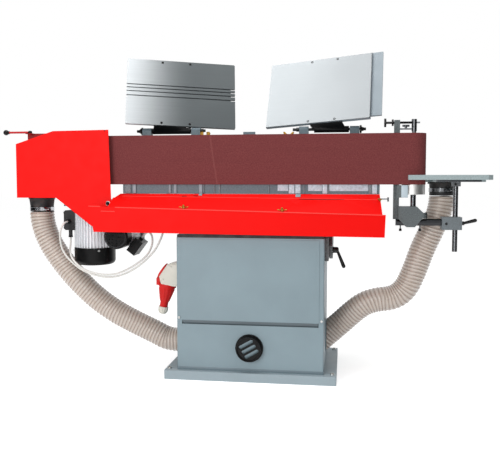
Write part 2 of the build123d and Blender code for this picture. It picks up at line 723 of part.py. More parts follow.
# Supply cable from the motor terminal box to the tilting unit
cable_radius = 4
cable_area = math.pi * cable_radius ** 2
motor_route = [(-781, -141, 627), (-781, -160, 626.5), (-783, -179, 620), (-787, -192, 604), (-791, -196, 583),
               (-793, -192, 552), (-787, -186, 511), (-757, -180, 466), (-688, -174, 414), (-582, -165, 393),
               (-495, -150, 426), (-420, -136, 490), (-386, -126, 545), (-366, -118, 612), (-352, -115, 668),
               (-352, -115, 732.8)]
with BuildPart() as motor_cable:
    with BuildLine():
        motor_line = FilletPolyline(*motor_route, radius=bend_radii(motor_route))
    with BuildSketch(Plane(origin=motor_line @ 0, z_dir=motor_line % 0)):
        Circle(cable_radius)
    sweep()
report_tube("motor_cable", motor_line, motor_cable.part, cable_area, motor_route)
motor_cable.part.label = "motor_cable"
export_step(motor_cable.part, "parts/motor_cable.step")

# Cable from the terminal box to the oscillation motor
osc_route = [(-777, -121, 562), (-777, -121, 536), (-770, -152, 502), (-738, -190, 466), (-684, -187, 424),
             (-582, -176, 405), (-504, -160, 436), (-440, -136, 484), (-421, -116, 530), (-424, -107, 566),
             (-437, -103, 584), (-455, -100, 581), (-469, -100, 562.4)]
with BuildPart() as osc_cable:
    with BuildLine():
        osc_line = FilletPolyline(*osc_route, radius=bend_radii(osc_route))
    with BuildSketch(Plane(origin=osc_line @ 0, z_dir=osc_line % 0)):
        Circle(cable_radius)
    sweep()
report_tube("osc_cable", osc_line, osc_cable.part, cable_area, osc_route)
osc_cable.part.label = "osc_cable"
export_step(osc_cable.part, "parts/osc_cable.step")

# Four pivot blocks for the fences, on top of the bed
with BuildPart() as fence_blocks:
    for block_x in (-447, -239, 205, 407):
        block(block_x - 19, block_x + 19, pivot_y - pivot_block, pivot_y + pivot_block, bed_top, pivot_z)
        rod_x(block_x - 19, block_x + 19, pivot_y, pivot_z, pivot_block)
        rod_x(block_x - 20, block_x + 20, pivot_y, pivot_z, 6 + fit, Mode.SUBTRACT)
fence_blocks.part.label = "fence_blocks"
export_step(fence_blocks.part, "parts/fence_blocks.step")

# Two brass wing nuts on the bed's top beside the blocks' inner ends
with BuildPart() as fence_wing_nuts:
    for nut_x in (-197, 145):
        rod_z(nut_x, -106, bed_top, bed_top + 14, 7)
        with BuildSketch(Plane.XZ.offset(104)):
            with BuildLine():
                Polyline((nut_x - 5, 976), (nut_x + 5, 976), (nut_x + 22, 985), (nut_x + 22, 995), (nut_x + 12, 995),
                         (nut_x + 6, 986), (nut_x - 6, 986), (nut_x - 12, 995), (nut_x - 22, 995),
                         (nut_x - 22, 985), close=True)
            make_face()
        extrude(amount=4)
fence_wing_nuts.part.label = "fence_wing_nuts"
export_step(fence_wing_nuts.part, "parts/fence_wing_nuts.step")

# Left fence: grooved plate, its bracket with four screws, and its clamp rod
left_place = (Pos(-299, -104, 1022.6) * Rot(0, left_roll, 0) * Rot(-left_lean, 0, 0) * Rot(0, 0, left_turn))
left_plane = Plane(left_place)
left_screws = [(-80, 10), (36, 10), (-80, left_height - 10), (36, left_height - 10)]
with BuildPart(left_plane) as left_plate:
    with Locations((0, plate_thickness / 2, left_height / 2)):
        Box(left_width, plate_thickness, left_height)
    plate_corners = left_plate.edges().filter_by(lambda e: abs(e.length - plate_thickness) < 0.01)
    fillet(plate_corners, 5)
    for groove_z in (128, 147.5, 164, 178.5):
        with Locations((0, 2, groove_z)):
            Box(left_width + 2, 6, 4.5, mode=Mode.SUBTRACT)
        with Locations((left_width / 2 - 8, plate_thickness / 2, groove_z)):
            Box(20, plate_thickness + 4, 8, mode=Mode.SUBTRACT)
    for screw_x, screw_z in left_screws:
        with Locations(Location((screw_x, plate_thickness / 2, screw_z), (90, 0, 0))):
            Cylinder(5.5, plate_thickness + 4, mode=Mode.SUBTRACT)
left_plate.part.label = "left_plate"
export_step(left_plate.part, "parts/left_plate.step")

with BuildPart() as left_bracket:
    rod_x(-424, -262, pivot_y, pivot_z, 13)
    with BuildSketch(Plane.XY.offset(pivot_z - 6)):
        with Locations((-343, pivot_y)):
            Rectangle(150, 18)
    with BuildSketch(Plane(left_place * Pos(-46, 14, -2))):
        Rectangle(130, 24)
    loft()
    with Locations(left_place):
        with Locations((-25, plate_thickness + 0.1 + pad_thickness / 2, left_height / 2)):
            Box(150, pad_thickness, left_height - 8)
        with Locations((-85, plate_thickness + 0.1 + rib_depth / 2, left_height / 2 - 6),
                       (5, plate_thickness + 0.1 + rib_depth / 2, left_height / 2 - 6)):
            Box(12, rib_depth, left_height)
        for screw_x, screw_z in left_screws:
            with Locations(Location((screw_x, 8, screw_z), (90, 0, 0))):
                Cylinder(5, 15)
    rod_x(-430, -250, pivot_y, pivot_z, 6.4, Mode.SUBTRACT)
left_bracket.part.label = "left_bracket"
export_step(left_bracket.part, "parts/left_bracket.step")

with BuildPart() as left_knob:
    rod_x(-492, -200, pivot_y, pivot_z, 6)
    rod_x(-478, -467, pivot_y, pivot_z, 11)
    rod_x(-219.5, -207, pivot_y, pivot_z, 9)
    with BuildSketch(Plane.YZ.offset(-478)):
        with Locations((pivot_y, pivot_z)):
            with PolarLocations(12, 5):
                Circle(5)
    extrude(amount=8)
left_knob.part.label = "left_knob"
export_step(left_knob.part, "parts/left_knob.step")

# Right fence: plate with a backing strip that stands out at its right end, bracket and clamp rod
right_place = (Pos(256.5, -104, 1028.7) * Rot(0, right_roll, 0) * Rot(-right_lean, 0, 0) * Rot(0, 0, right_turn))
right_plane = Plane(right_place)
right_screws = [(-36, 10), (72, 10), (-36, right_height - 10), (72, right_height - 10)]
with BuildPart(right_plane) as right_plate:
    with Locations((0, plate_thickness / 2, right_height / 2)):
        Box(right_width, plate_thickness, right_height)
    with Locations((right_width / 2 + 11, plate_thickness + 4, right_height / 2 + 12)):
        Box(62, 8, right_height - 8)
    for screw_x, screw_z in right_screws:
        with Locations(Location((screw_x, plate_thickness / 2, screw_z), (90, 0, 0))):
            Cylinder(5.5, plate_thickness + 4, mode=Mode.SUBTRACT)
right_plate.part.label = "right_plate"
export_step(right_plate.part, "parts/right_plate.step")

with BuildPart() as right_bracket:
    rod_x(246, 385, pivot_y, pivot_z, 13)
    with BuildSketch(Plane.XY.offset(pivot_z - 6)):
        with Locations((314, pivot_y)):
            Rectangle(128, 18)
    with BuildSketch(Plane(right_place * Pos(36, 14, -2))):
        Rectangle(132, 24)
    loft()
    with Locations(right_place):
        with Locations((22, plate_thickness + 0.1 + pad_thickness / 2, right_height / 2)):
            Box(146, pad_thickness, right_height - 8)
        with Locations((5, plate_thickness + 0.1 + rib_depth / 2, right_height / 2 - 6),
                       (85, plate_thickness + 0.1 + rib_depth / 2, right_height / 2 - 6)):
            Box(12, rib_depth, right_height)
        for screw_x, screw_z in right_screws:
            with Locations(Location((screw_x, 8, screw_z), (90, 0, 0))):
                Cylinder(5, 15)
    rod_x(220, 400, pivot_y, pivot_z, 6.4, Mode.SUBTRACT)
right_bracket.part.label = "right_bracket"
export_step(right_bracket.part, "parts/right_bracket.step")

with BuildPart() as right_knob:
    rod_x(160, 452, pivot_y, pivot_z, 6)
    rod_x(427, 438, pivot_y, pivot_z, 11)
    rod_x(172, 185.5, pivot_y, pivot_z, 9)
    with BuildSketch(Plane.YZ.offset(430)):
        with Locations((pivot_y, pivot_z)):
            with PolarLocations(12, 5):
                Circle(5)
    extrude(amount=8)
right_knob.part.label = "right_knob"
export_step(right_knob.part, "parts/right_knob.step")

# Drive drum with its shaft
with BuildPart() as drive_drum:
    rod_z(drive_x, drive_y, 776, 990, drive_radius)
    rod_z(drive_x, drive_y, 800, 991, 58, Mode.SUBTRACT)
    rod_z(drive_x, drive_y, 645, 980, 15)
    rod_z(drive_x, drive_y, 767.5, 777, 22)
drive_drum.part.label = "drive_drum"
export_step(drive_drum.part, "parts/drive_drum.step")

# Eccentric of the oscillation drive, its pin in the yoke arm
with BuildPart() as eccentric:
    rod_y(osc_x, -38, 0, osc_z, 10)
    rod_y(osc_x, -7, 5, osc_z, 26)
    rod_y(osc_x + 5, 5, 34, osc_z, 5)
eccentric.part.label = "eccentric"
export_step(eccentric.part, "parts/eccentric.step")

# Idler yoke: upright bar, guide rods, the lower block and a small plate in front of the drum's foot
with BuildPart() as idler_yoke:
    block(561, 583, idler_y - 10, idler_y + 10, 646, 1036)
    block(571, 583, -139.5, idler_y - 9, 735, 775)
    block(571, 614, -139.5, -136.5, 732, 781)
    for guide_z in (820, 930):
        rod_x(bed_right - 95, 562, idler_y, guide_z, 10)
    with BuildSketch(Plane.XZ.offset(72)):
        with BuildLine():
            Polyline((579, 697), (650, 697), (677, 671), (677, 657), (643, 616), (611, 616), (579, 650), close=True)
        make_face()
    extrude(amount=60)
    rod_x(570, 690, bar_y, bar_z, bar_radius + fit, Mode.SUBTRACT)
    rod_z(idler_x, idler_y, 660, 700, 11, Mode.SUBTRACT)
    rod_x(550, 600, idler_y, 1026, 5 + fit, Mode.SUBTRACT)
    for screw_x in (592, 668):
        rod_z(screw_x, -75, 600, 650, 2.5)
        rod_z(screw_x, -75, 597, 606, 4.5)
    block(676, 688, -112, -92, 650, 672)
idler_yoke.part.label = "idler_yoke"
export_step(idler_yoke.part, "parts/idler_yoke.step")

# Idler shaft with a stout upper end, its eye, and the arm and wing nut that hold it to the yoke
with BuildPart() as idler_shaft:
    rod_z(idler_x, idler_y, 660, 743, 11)
    rod_z(idler_x, idler_y, 743, 993, 8.5)
    rod_z(idler_x, idler_y, 992, 1039, 10.5)
    rod_x(idler_x + 9, idler_x + 22, idler_y, 1026, 3.5)
    rod_x(idler_x - 20, idler_x - 1, idler_y, 1026, 5 + fit, Mode.SUBTRACT)
    block(583, idler_x - 9, idler_y - 6, idler_y + 6, 998, 1004)
    rod_z(606, idler_y, 1004, 1014, 5)
    block(592, 620, idler_y - 2, idler_y + 2, 1010, 1017)
idler_shaft.part.label = "idler_shaft"
export_step(idler_shaft.part, "parts/idler_shaft.step")

# Idler drum
with BuildPart() as idler_drum:
    rod_z(idler_x, idler_y, 744, 981, idler_radius)
    rod_z(idler_x, idler_y, 760, 965, idler_radius - 6, Mode.SUBTRACT)
    rod_z(idler_x, idler_y, 743, 982, 8.5 + fit, Mode.SUBTRACT)
idler_drum.part.label = "idler_drum"
export_step(idler_drum.part, "parts/idler_drum.step")

# Tracking screw: knob, lock star and rod
with BuildPart() as tracking_screw:
    rod_x(522, 530, idler_y, 1026, 17)
    rod_x(530, idler_x - 2, idler_y, 1026, 5)
    rod_x(551, 560.6, idler_y, 1026, 10)
    with BuildSketch(Plane.YZ.offset(551)):
        with Locations((idler_y, 1026)):
            with PolarLocations(11, 6):
                Circle(4)
    extrude(amount=6)
tracking_screw.part.label = "tracking_screw"
export_step(tracking_screw.part, "parts/tracking_screw.step")

# Cross bar of the end table
with BuildPart() as table_bar:
    rod_x(571, 784, bar_y, bar_z, bar_radius)
table_bar.part.label = "table_bar"
export_step(table_bar.part, "parts/table_bar.step")

# Clamp block on the bar's end
with BuildPart() as table_block:
    block(748, 823, bar_y - 30, bar_y + 30, 606, 656)
    rod_x(747, 784, bar_y, bar_z, bar_radius, Mode.SUBTRACT)
    rod_z(post_x, bar_y, 600, 660, post_radius + fit, Mode.SUBTRACT)
    rod_y(764, bar_y - 31, bar_y - 28, 630, 5, Mode.SUBTRACT)
table_block.part.label = "table_block"
export_step(table_block.part, "parts/table_block.step")

# Clamp lever of the post
with BuildPart() as table_lever:
    rod_x(823.3, 836, bar_y, 631, 7)
    with BuildSketch(Plane(origin=(832, bar_y, 631), z_dir=(44, -18, 13))):
        Circle(5)
    extrude(amount=46)
    with Locations((874, bar_y - 17, 643.5)):
        Sphere(6)
    block(815, 823.3, bar_y - 20, bar_y + 20, 610, 655, Mode.SUBTRACT)
table_lever.part.label = "table_lever"
export_step(table_lever.part, "parts/table_lever.step")

# Post of the end table with its head
with BuildPart() as table_post:
    rod_z(post_x, bar_y, 519, 780, post_radius)
    block(post_x - 20, post_x + 16, bar_y - 18, bar_y + 18, 776, 793)
table_post.part.label = "table_post"
export_step(table_post.part, "parts/table_post.step")

# End table: plate round the idler end of the belt, stiffened underneath
with BuildPart() as end_table:
    with BuildSketch(Plane.XY.offset(table_top - table_thickness)):
        with BuildLine():
            Polyline((612, -176), (908, -176), (928, -156), (928, 110), (650, 110), (650, -36), (696, -36),
                     (696, -152), (612, -152), close=True)
        make_face()
    extrude(amount=table_thickness)
    with BuildSketch(Plane.XY.offset(793)):
        with BuildLine():
            Polyline((716, -166), (884, -166), (904, -146), (904, 92), (668, 92), (668, -28), (716, -28),
                     close=True)
        make_face()
    extrude(amount=8)
    rod_z(763, 20, 790, 824, 44, Mode.SUBTRACT)
end_table.part.label = "end_table"
export_step(end_table.part, "parts/end_table.step")

# Dust port under the end table with its clamp band
with BuildPart() as table_port:
    rod_z(763, 20, 785, 793, 56)
    with Locations((763, 20, 770)):
        Cone(47, 50, 30)
    rod_z(763, 20, 738, 756, 49)
    rod_z(763, 20, 730, 800, 44, Mode.SUBTRACT)
table_port.part.label = "table_port"
export_step(table_port.part, "parts/table_port.step")
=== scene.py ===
"""Looks of an edge sander: its finishes, hoses, cables and fittings, with studio light and a camera.

Sizes are millimetres in the machine's frame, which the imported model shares, and meshes are written in metres.
"""
import json
import logging
import math
from dataclasses import dataclass
from enum import Enum
from itertools import product

import bmesh
import bpy
from mathutils import Euler, Matrix, Vector

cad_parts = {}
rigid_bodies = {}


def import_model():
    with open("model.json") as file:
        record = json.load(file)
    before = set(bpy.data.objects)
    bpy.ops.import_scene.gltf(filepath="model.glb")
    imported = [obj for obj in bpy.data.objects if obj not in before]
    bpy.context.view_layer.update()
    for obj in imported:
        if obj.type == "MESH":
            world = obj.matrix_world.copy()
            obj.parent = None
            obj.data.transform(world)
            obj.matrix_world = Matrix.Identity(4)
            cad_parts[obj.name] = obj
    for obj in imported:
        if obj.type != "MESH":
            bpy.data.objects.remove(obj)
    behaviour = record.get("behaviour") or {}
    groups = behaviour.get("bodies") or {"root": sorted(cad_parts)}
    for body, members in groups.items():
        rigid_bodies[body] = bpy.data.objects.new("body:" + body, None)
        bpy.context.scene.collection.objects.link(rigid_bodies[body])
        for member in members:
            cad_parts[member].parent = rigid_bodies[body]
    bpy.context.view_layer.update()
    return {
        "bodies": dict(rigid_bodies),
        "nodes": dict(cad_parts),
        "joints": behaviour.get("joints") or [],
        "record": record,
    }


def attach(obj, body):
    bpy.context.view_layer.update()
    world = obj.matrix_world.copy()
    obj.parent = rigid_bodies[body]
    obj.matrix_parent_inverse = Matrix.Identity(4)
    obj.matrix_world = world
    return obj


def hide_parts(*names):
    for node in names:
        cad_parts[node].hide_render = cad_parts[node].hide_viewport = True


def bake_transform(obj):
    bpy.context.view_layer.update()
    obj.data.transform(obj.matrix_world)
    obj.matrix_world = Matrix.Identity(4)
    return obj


LOG = logging.getLogger("edge_sander")
MM = 0.001

# Most of a noise lies between these values
NOISE_LOW = 0.3
NOISE_HIGH = 0.7

Pair = tuple[float, float]
Triple = tuple[float, float, float]
Box = tuple[Triple, Triple]
Profile = tuple[Pair, ...]
Colour = tuple[float, float, float, float]
Mesh = bmesh.types.BMesh
Item = bpy.types.Object
Socket = bpy.types.NodeSocket


class Recess(Enum):
    """How a screw head is driven."""

    HEX = 6
    CROSS = 4


class Grain(Enum):
    """The direction in which a metal was brushed, as stretch factors along X, Y and Z."""

    ALONG_X = (0.6, 0.0016, 0.0016)
    ALONG_Z = (0.0016, 0.0016, 0.6)
    ROUND = (0.02, 0.02, 0.004)


class Ramp(Enum):
    """How a value goes from one end of its range to the other."""

    STRAIGHT = "LINEAR"
    SOFT = "SMOOTHERSTEP"


def tint(red: int, green: int, blue: int) -> Colour:
    """Turn a display colour into the linear colour that shaders take.

    Args:
        red: Display red, 0 to 255.
        green: Display green, 0 to 255.
        blue: Display blue, 0 to 255.

    Returns:
        The linear colour with full opacity.
    """
    def linear(value: int) -> float:
        """Undo the display curve for one channel."""
        share = value / 255
        return share / 12.92 if share <= 0.04045 else ((share + 0.055) / 1.055) ** 2.4
    return (linear(red), linear(green), linear(blue), 1.0)


def shaded(colour: Colour, factor: float) -> Colour:
    """Return a colour made lighter or darker."""
    return tuple(min(1.0, channel * factor) for channel in colour[:3]) + (1.0,)


def placed(name: str, data: bpy.types.ID) -> Item:
    """Return a new object in the scene.

    Args:
        name: The object's name.
        data: The mesh, curve, lamp or camera that it shows.

    Returns:
        The object, at the origin.
    """
    item = bpy.data.objects.new(name, data)
    bpy.context.scene.collection.objects.link(item)
    return item


def meshed(name: str, mesh: Mesh, material: bpy.types.Material) -> Item:
    """Turn a finished mesh into a smooth object.

    Args:
        name: The object's name.
        mesh: The mesh in metres, which is used up.
        material: Its finish.

    Returns:
        The object, at the origin.
    """
    for face in mesh.faces:
        face.smooth = True
    data = bpy.data.meshes.new(name)
    mesh.to_mesh(data)
    mesh.free()
    data.materials.append(material)
    return placed(name, data)


class Graph:
    """A node tree with short calls that fill it."""

    def __init__(self, tree: bpy.types.NodeTree) -> None:
        """Take over a node tree."""
        self.nodes = tree.nodes
        self.links = tree.links

    def feed(self, socket: Socket, value: object) -> None:
        """Fill a socket.

        Args:
            socket: The input to fill.
            value: A node output to link to it, or a plain value.
        """
        if isinstance(value, Socket):
            self.links.new(value, socket)
        else:
            socket.default_value = value

    def node(self, kind: str, **inputs: object) -> bpy.types.Node:
        """Add a shader node.

        Args:
            kind: The node's type without its prefix.
            inputs: Values or links for its inputs, named with underscores.

        Returns:
            The node.
        """
        made = self.nodes.new("ShaderNode" + kind)
        for key, value in inputs.items():
            self.feed(made.inputs[key.replace("_", " ")], value)
        return made

    def compute(self, operation: str, *values: object) -> Socket:
        """Add one arithmetic operation.

        Args:
            operation: Its name.
            values: The values or links that it works on.

        Returns:
            The result.
        """
        node = self.node("Math")
        node.operation = operation
        for socket, value in zip(node.inputs, values):
            self.feed(socket, value)
        return node.outputs[0]

    def spread(self, value: Socket, low: Pair, high: Pair, ramp: Ramp = Ramp.STRAIGHT) -> Socket:
        """Map a value from one range to another, held inside it.

        Args:
            value: The value to map.
            low: The lower input and the output it gives.
            high: The upper input and the output it gives.
            ramp: How it goes from one to the other.

        Returns:
            The mapped value.
        """
        node = self.node("MapRange", Value=value, From_Min=low[0], From_Max=high[0], To_Min=low[1],
                         To_Max=high[1])
        node.interpolation_type = ramp.value
        return node.outputs["Result"]

    def in_view(self) -> Socket:
        """Tell rays that show something to the camera from scattered light.

        Returns:
            1 for rays from the camera, off mirrors and through glass, and 0 for the rest.
        """
        rays = self.node("LightPath").outputs
        mirrored = self.compute("MAXIMUM", rays["Is Glossy Ray"], rays["Is Transmission Ray"])
        return self.compute("MAXIMUM", rays["Is Camera Ray"], mirrored)


class Tree(Graph):
    """A material's node tree, which starts as one principled shader."""

    def __init__(self, name: str) -> None:
        """Start a material.

        Args:
            name: The material's name.
        """
        self.material = bpy.data.materials.new(name)
        self.material.use_nodes = True
        super().__init__(self.material.node_tree)
        self.shader = self.nodes["Principled BSDF"]
        self.place = self.node("TexCoord").outputs["Object"]

    def surface(self, **values: object) -> None:
        """Give the shader's inputs, named with underscores, their values or links."""
        for key, value in values.items():
            self.feed(self.shader.inputs[key.replace("_", " ")], value)

    def mapped(self, scale: Triple, turn: Triple = (0, 0, 0), centre: Triple = (0, 0, 0)) -> Socket:
        """Turn object coordinates into a piece's own axes and divide them by a scale.

        Args:
            scale: The scale along each of its axes.
            turn: The angles of its axes in radians.
            centre: Its origin in metres.

        Returns:
            The mapped coordinates.
        """
        node = self.node("Mapping", Vector=self.place, Location=centre, Rotation=turn, Scale=scale)
        node.vector_type = "TEXTURE"
        return node.outputs["Vector"]

    def noise(self, scale: float, detail: float = 3, where: Socket | None = None) -> Socket:
        """Return a noise of a scale, in features per metre or mapped unit, with layers of finer detail."""
        return self.node("TexNoise", Vector=where or self.place, Scale=scale, Detail=detail).outputs["Fac"]

    def waver(self, noise: Socket, low: float, high: float) -> Socket:
        """Return a noise spread from a low to a high value."""
        return self.spread(noise, (NOISE_LOW, low), (NOISE_HIGH, high))

    def attribute(self, name: str) -> Socket:
        """Return a value stored on the mesh.

        Args:
            name: The name that it is stored under.

        Returns:
            The value.
        """
        node = self.node("Attribute")
        node.attribute_name = name
        return node.outputs["Fac"]

    def blend(self, share: Socket, first: object, second: object) -> Socket:
        """Mix two colours.

        Args:
            share: Where the mix stands, 0 to 1.
            first: The colour at 0.
            second: The colour at 1.

        Returns:
            The mixed colour.
        """
        node = self.node("Mix", Factor=share)
        node.data_type = "RGBA"
        self.feed(node.inputs[6], first)
        self.feed(node.inputs[7], second)
        return node.outputs[2]

    def parts(self, vector: Socket) -> tuple[Socket, ...]:
        """Return a vector's X, Y and Z."""
        return tuple(self.node("SeparateXYZ", Vector=vector).outputs)

    def relief(self, height: Socket, depth: float, strength: float = 1.0) -> None:
        """Bump the surface by a height of 0 to 1, with a depth in millimetres and a share that shows."""
        node = self.node("Bump", Distance=depth * MM, Strength=strength, Height=height)
        self.surface(Normal=node.outputs["Normal"])


@dataclass(frozen=True)
class Finish:
    """A named finish of the machine."""

    name: str

    def fill(self, tree: Tree) -> None:
        """Fill a material's node tree with the finish."""
        raise NotImplementedError

    def material(self) -> bpy.types.Material:
        """Make the finish.

        Returns:
            A new material.
        """
        tree = Tree(self.name)
        self.fill(tree)
        return tree.material


@dataclass(frozen=True)
class Paint(Finish):
    """Sprayed enamel: fine orange peel, slight clouding, and flecks on rough castings."""

    colour: Colour
    gloss: float = 0.38
    peel: float = 0.06
    peel_scale: float = 420
    clouding: float = 0.06
    flecks: float = 0.0
    fleck_scale: float = 260
    specular: float = 0.5

    def fill(self, tree: Tree) -> None:
        """Fill a material with the finish.

        Args:
            tree: The material's node tree.
        """
        colour = tree.blend(tree.waver(tree.noise(5, 4), 0, 1), shaded(self.colour, 1 - self.clouding),
                            shaded(self.colour, 1 + self.clouding))
        if self.flecks:
            grains = tree.noise(self.fleck_scale, 2)
            dark = tree.spread(grains, (0.36, 1), (0.46, 0))
            light = tree.spread(grains, (0.56, 0), (0.66, 1))
            colour = tree.blend(dark, colour, shaded(self.colour, 1 - self.flecks))
            colour = tree.blend(light, colour, shaded(self.colour, 1 + self.flecks))
        rough = tree.waver(tree.noise(24, 5), self.gloss - 0.05, self.gloss + 0.07)
        tree.surface(Base_Color=colour, Roughness=rough, Specular_IOR_Level=self.specular)
        tree.relief(tree.noise(self.peel_scale, 2), self.peel, 0.5)


@dataclass(frozen=True)
class Moulded(Finish):
    """Moulded plastic or rubber with a fine spark-eroded grain and a little dust."""

    colour: Colour
    gloss: float = 0.42
    grain: float = 0.05
    dust: float = 0.1
    specular: float = 0.5

    def fill(self, tree: Tree) -> None:
        """Fill a material with the finish.

        Args:
            tree: The material's node tree.
        """
        dust = tree.spread(tree.noise(30, 6), (0.45, 0), (0.8, self.dust))
        colour = tree.blend(dust, self.colour, tint(150, 142, 132))
        rough = tree.waver(tree.noise(60, 4), self.gloss - 0.06, self.gloss + 0.08)
        tree.surface(Base_Color=colour, Roughness=rough, Specular_IOR_Level=self.specular)
        tree.relief(tree.noise(1400, 2), self.grain, 0.6)


@dataclass(frozen=True)
class Brushed(Finish):
    """Brushed metal: long fine scratches, smears of uneven gloss and, where given, painted light and shade: a
    tone that fades across the piece.
    """

    colour: Colour
    gloss: float = 0.36
    grain: Grain = Grain.ALONG_X
    turn: Triple = (0, 0, 0)
    contrast: float = 0.12
    metal: float = 1.0
    # Colour at the far end of a painted light-to-shade fade.
    far: Colour | None = None
    centre: Triple = (0, 0, 0)
    half: float = 0.22
    ramp: Ramp = Ramp.STRAIGHT

    def fill(self, tree: Tree) -> None:
        """Fill a material with the finish.

        Args:
            tree: The material's node tree.
        """
        lines = tree.noise(1.0, 4, tree.mapped(self.grain.value, self.turn))
        light, dark = shaded(self.colour, 1 + self.contrast), shaded(self.colour, 1 - self.contrast)
        # Where a far colour is given, the colour fades across the piece towards it: painted light and shade.
        if self.far:
            across = tree.parts(tree.mapped((1, 1, 1), self.turn, self.centre))[0]
            share = tree.spread(across, (-self.half, 0), (self.half, 1), self.ramp)
            light = tree.blend(share, light, shaded(self.far, 1 + self.contrast))
            dark = tree.blend(share, dark, shaded(self.far, 1 - self.contrast))
        colour = tree.blend(tree.waver(lines, 0, 1), dark, light)
        smears = tree.spread(tree.noise(7, 3), (0.35, -0.04), (0.7, 0.05))
        rough = tree.compute("ADD", tree.waver(lines, self.gloss - 0.08, self.gloss + 0.08), smears)
        tree.surface(Base_Color=colour, Metallic=self.metal, Roughness=rough, Anisotropic=0.3)
        tree.relief(lines, 0.03, 0.35)


@dataclass(frozen=True)
class Polished(Finish):
    """Ground or plated metal with faint turning marks and stains."""

    colour: Colour
    gloss: float = 0.14
    marks: float = 0.02

    def fill(self, tree: Tree) -> None:
        """Fill a material with the finish.

        Args:
            tree: The material's node tree.
        """
        stain = tree.spread(tree.noise(35, 5), (0.4, 0), (0.75, 0.5))
        rings = tree.noise(1.0, 2, tree.mapped(Grain.ROUND.value))
        rough = tree.waver(rings, self.gloss - 0.04, self.gloss + 0.06)
        tree.surface(Base_Color=tree.blend(stain, self.colour, shaded(self.colour, 0.7)), Metallic=1.0,
                     Roughness=rough)
        tree.relief(rings, self.marks, 0.3)


@dataclass(frozen=True)
class AbrasiveCloth(Finish):
    """Coated abrasive: sharp grains in resin on cloth, with one slanted splice across the front."""

    splice_top: float = -171
    splice_slant: float = 0.15
    splice_half: float = 4.5
    splice_strength: float = 0.2
    front: float = -120
    top: float = 983

    def splice(self, tree: Tree) -> Socket:
        """Draw the splice.

        Args:
            tree: The material's node tree.

        Returns:
            How much the splice shows at a place.
        """
        x, y, z = tree.parts(tree.place)
        shift = -self.splice_top * MM - self.top * MM * self.splice_slant
        slant = tree.compute("MULTIPLY_ADD", z, self.splice_slant, shift)
        offset = tree.compute("ABSOLUTE", tree.compute("ADD", x, slant))
        half = self.splice_half * MM
        line = tree.spread(offset, (half * 0.4, self.splice_strength), (half, 0))
        return tree.compute("MULTIPLY", line, tree.compute("LESS_THAN", y, self.front * MM))

    def fill(self, tree: Tree) -> None:
        """Fill a material with the finish.

        Args:
            tree: The material's node tree.
        """
        coarse = tree.noise(230, 3)
        fine = tree.noise(900, 2)
        streaks = tree.noise(1.0, 3, tree.mapped((0.5, 0.5, 0.006)))
        colour = tree.blend(tree.spread(coarse, (0.34, 0), (0.66, 1)), tint(105, 49, 51), tint(126, 62, 62))
        colour = tree.blend(tree.spread(fine, (0.58, 0), (0.72, 0.3)), colour, tint(164, 98, 93))
        colour = tree.blend(tree.spread(streaks, (0.5, 0), (0.8, 0.2)), colour, tint(96, 45, 46))
        colour = tree.blend(self.splice(tree), colour, tint(160, 96, 92))
        tree.surface(Base_Color=colour, Roughness=0.9, Specular_IOR_Level=0.25)
        tree.relief(tree.compute("ADD", coarse, fine), 0.35, 0.7)


@dataclass(frozen=True)
class HoseSkin(Finish):
    """Clear hose wall that has gone tan, paler where it stands clear of the wire."""

    def fill(self, tree: Tree) -> None:
        """Fill a material with the finish.

        Args:
            tree: The material's node tree.
        """
        dust = tree.spread(tree.noise(18, 5), (0.4, 0), (0.75, 0.4))
        colour = tree.blend(tree.attribute("rib"), tint(188, 173, 162), tint(220, 209, 199))
        tree.surface(Base_Color=tree.blend(dust, colour, tint(198, 182, 168)), Roughness=0.28,
                     Coat_Weight=0.8, Coat_Roughness=0.14,
                     Subsurface_Weight=0.2, Subsurface_Radius=(0.006, 0.005, 0.004))
        tree.relief(tree.noise(160, 3), 0.4, 0.4)


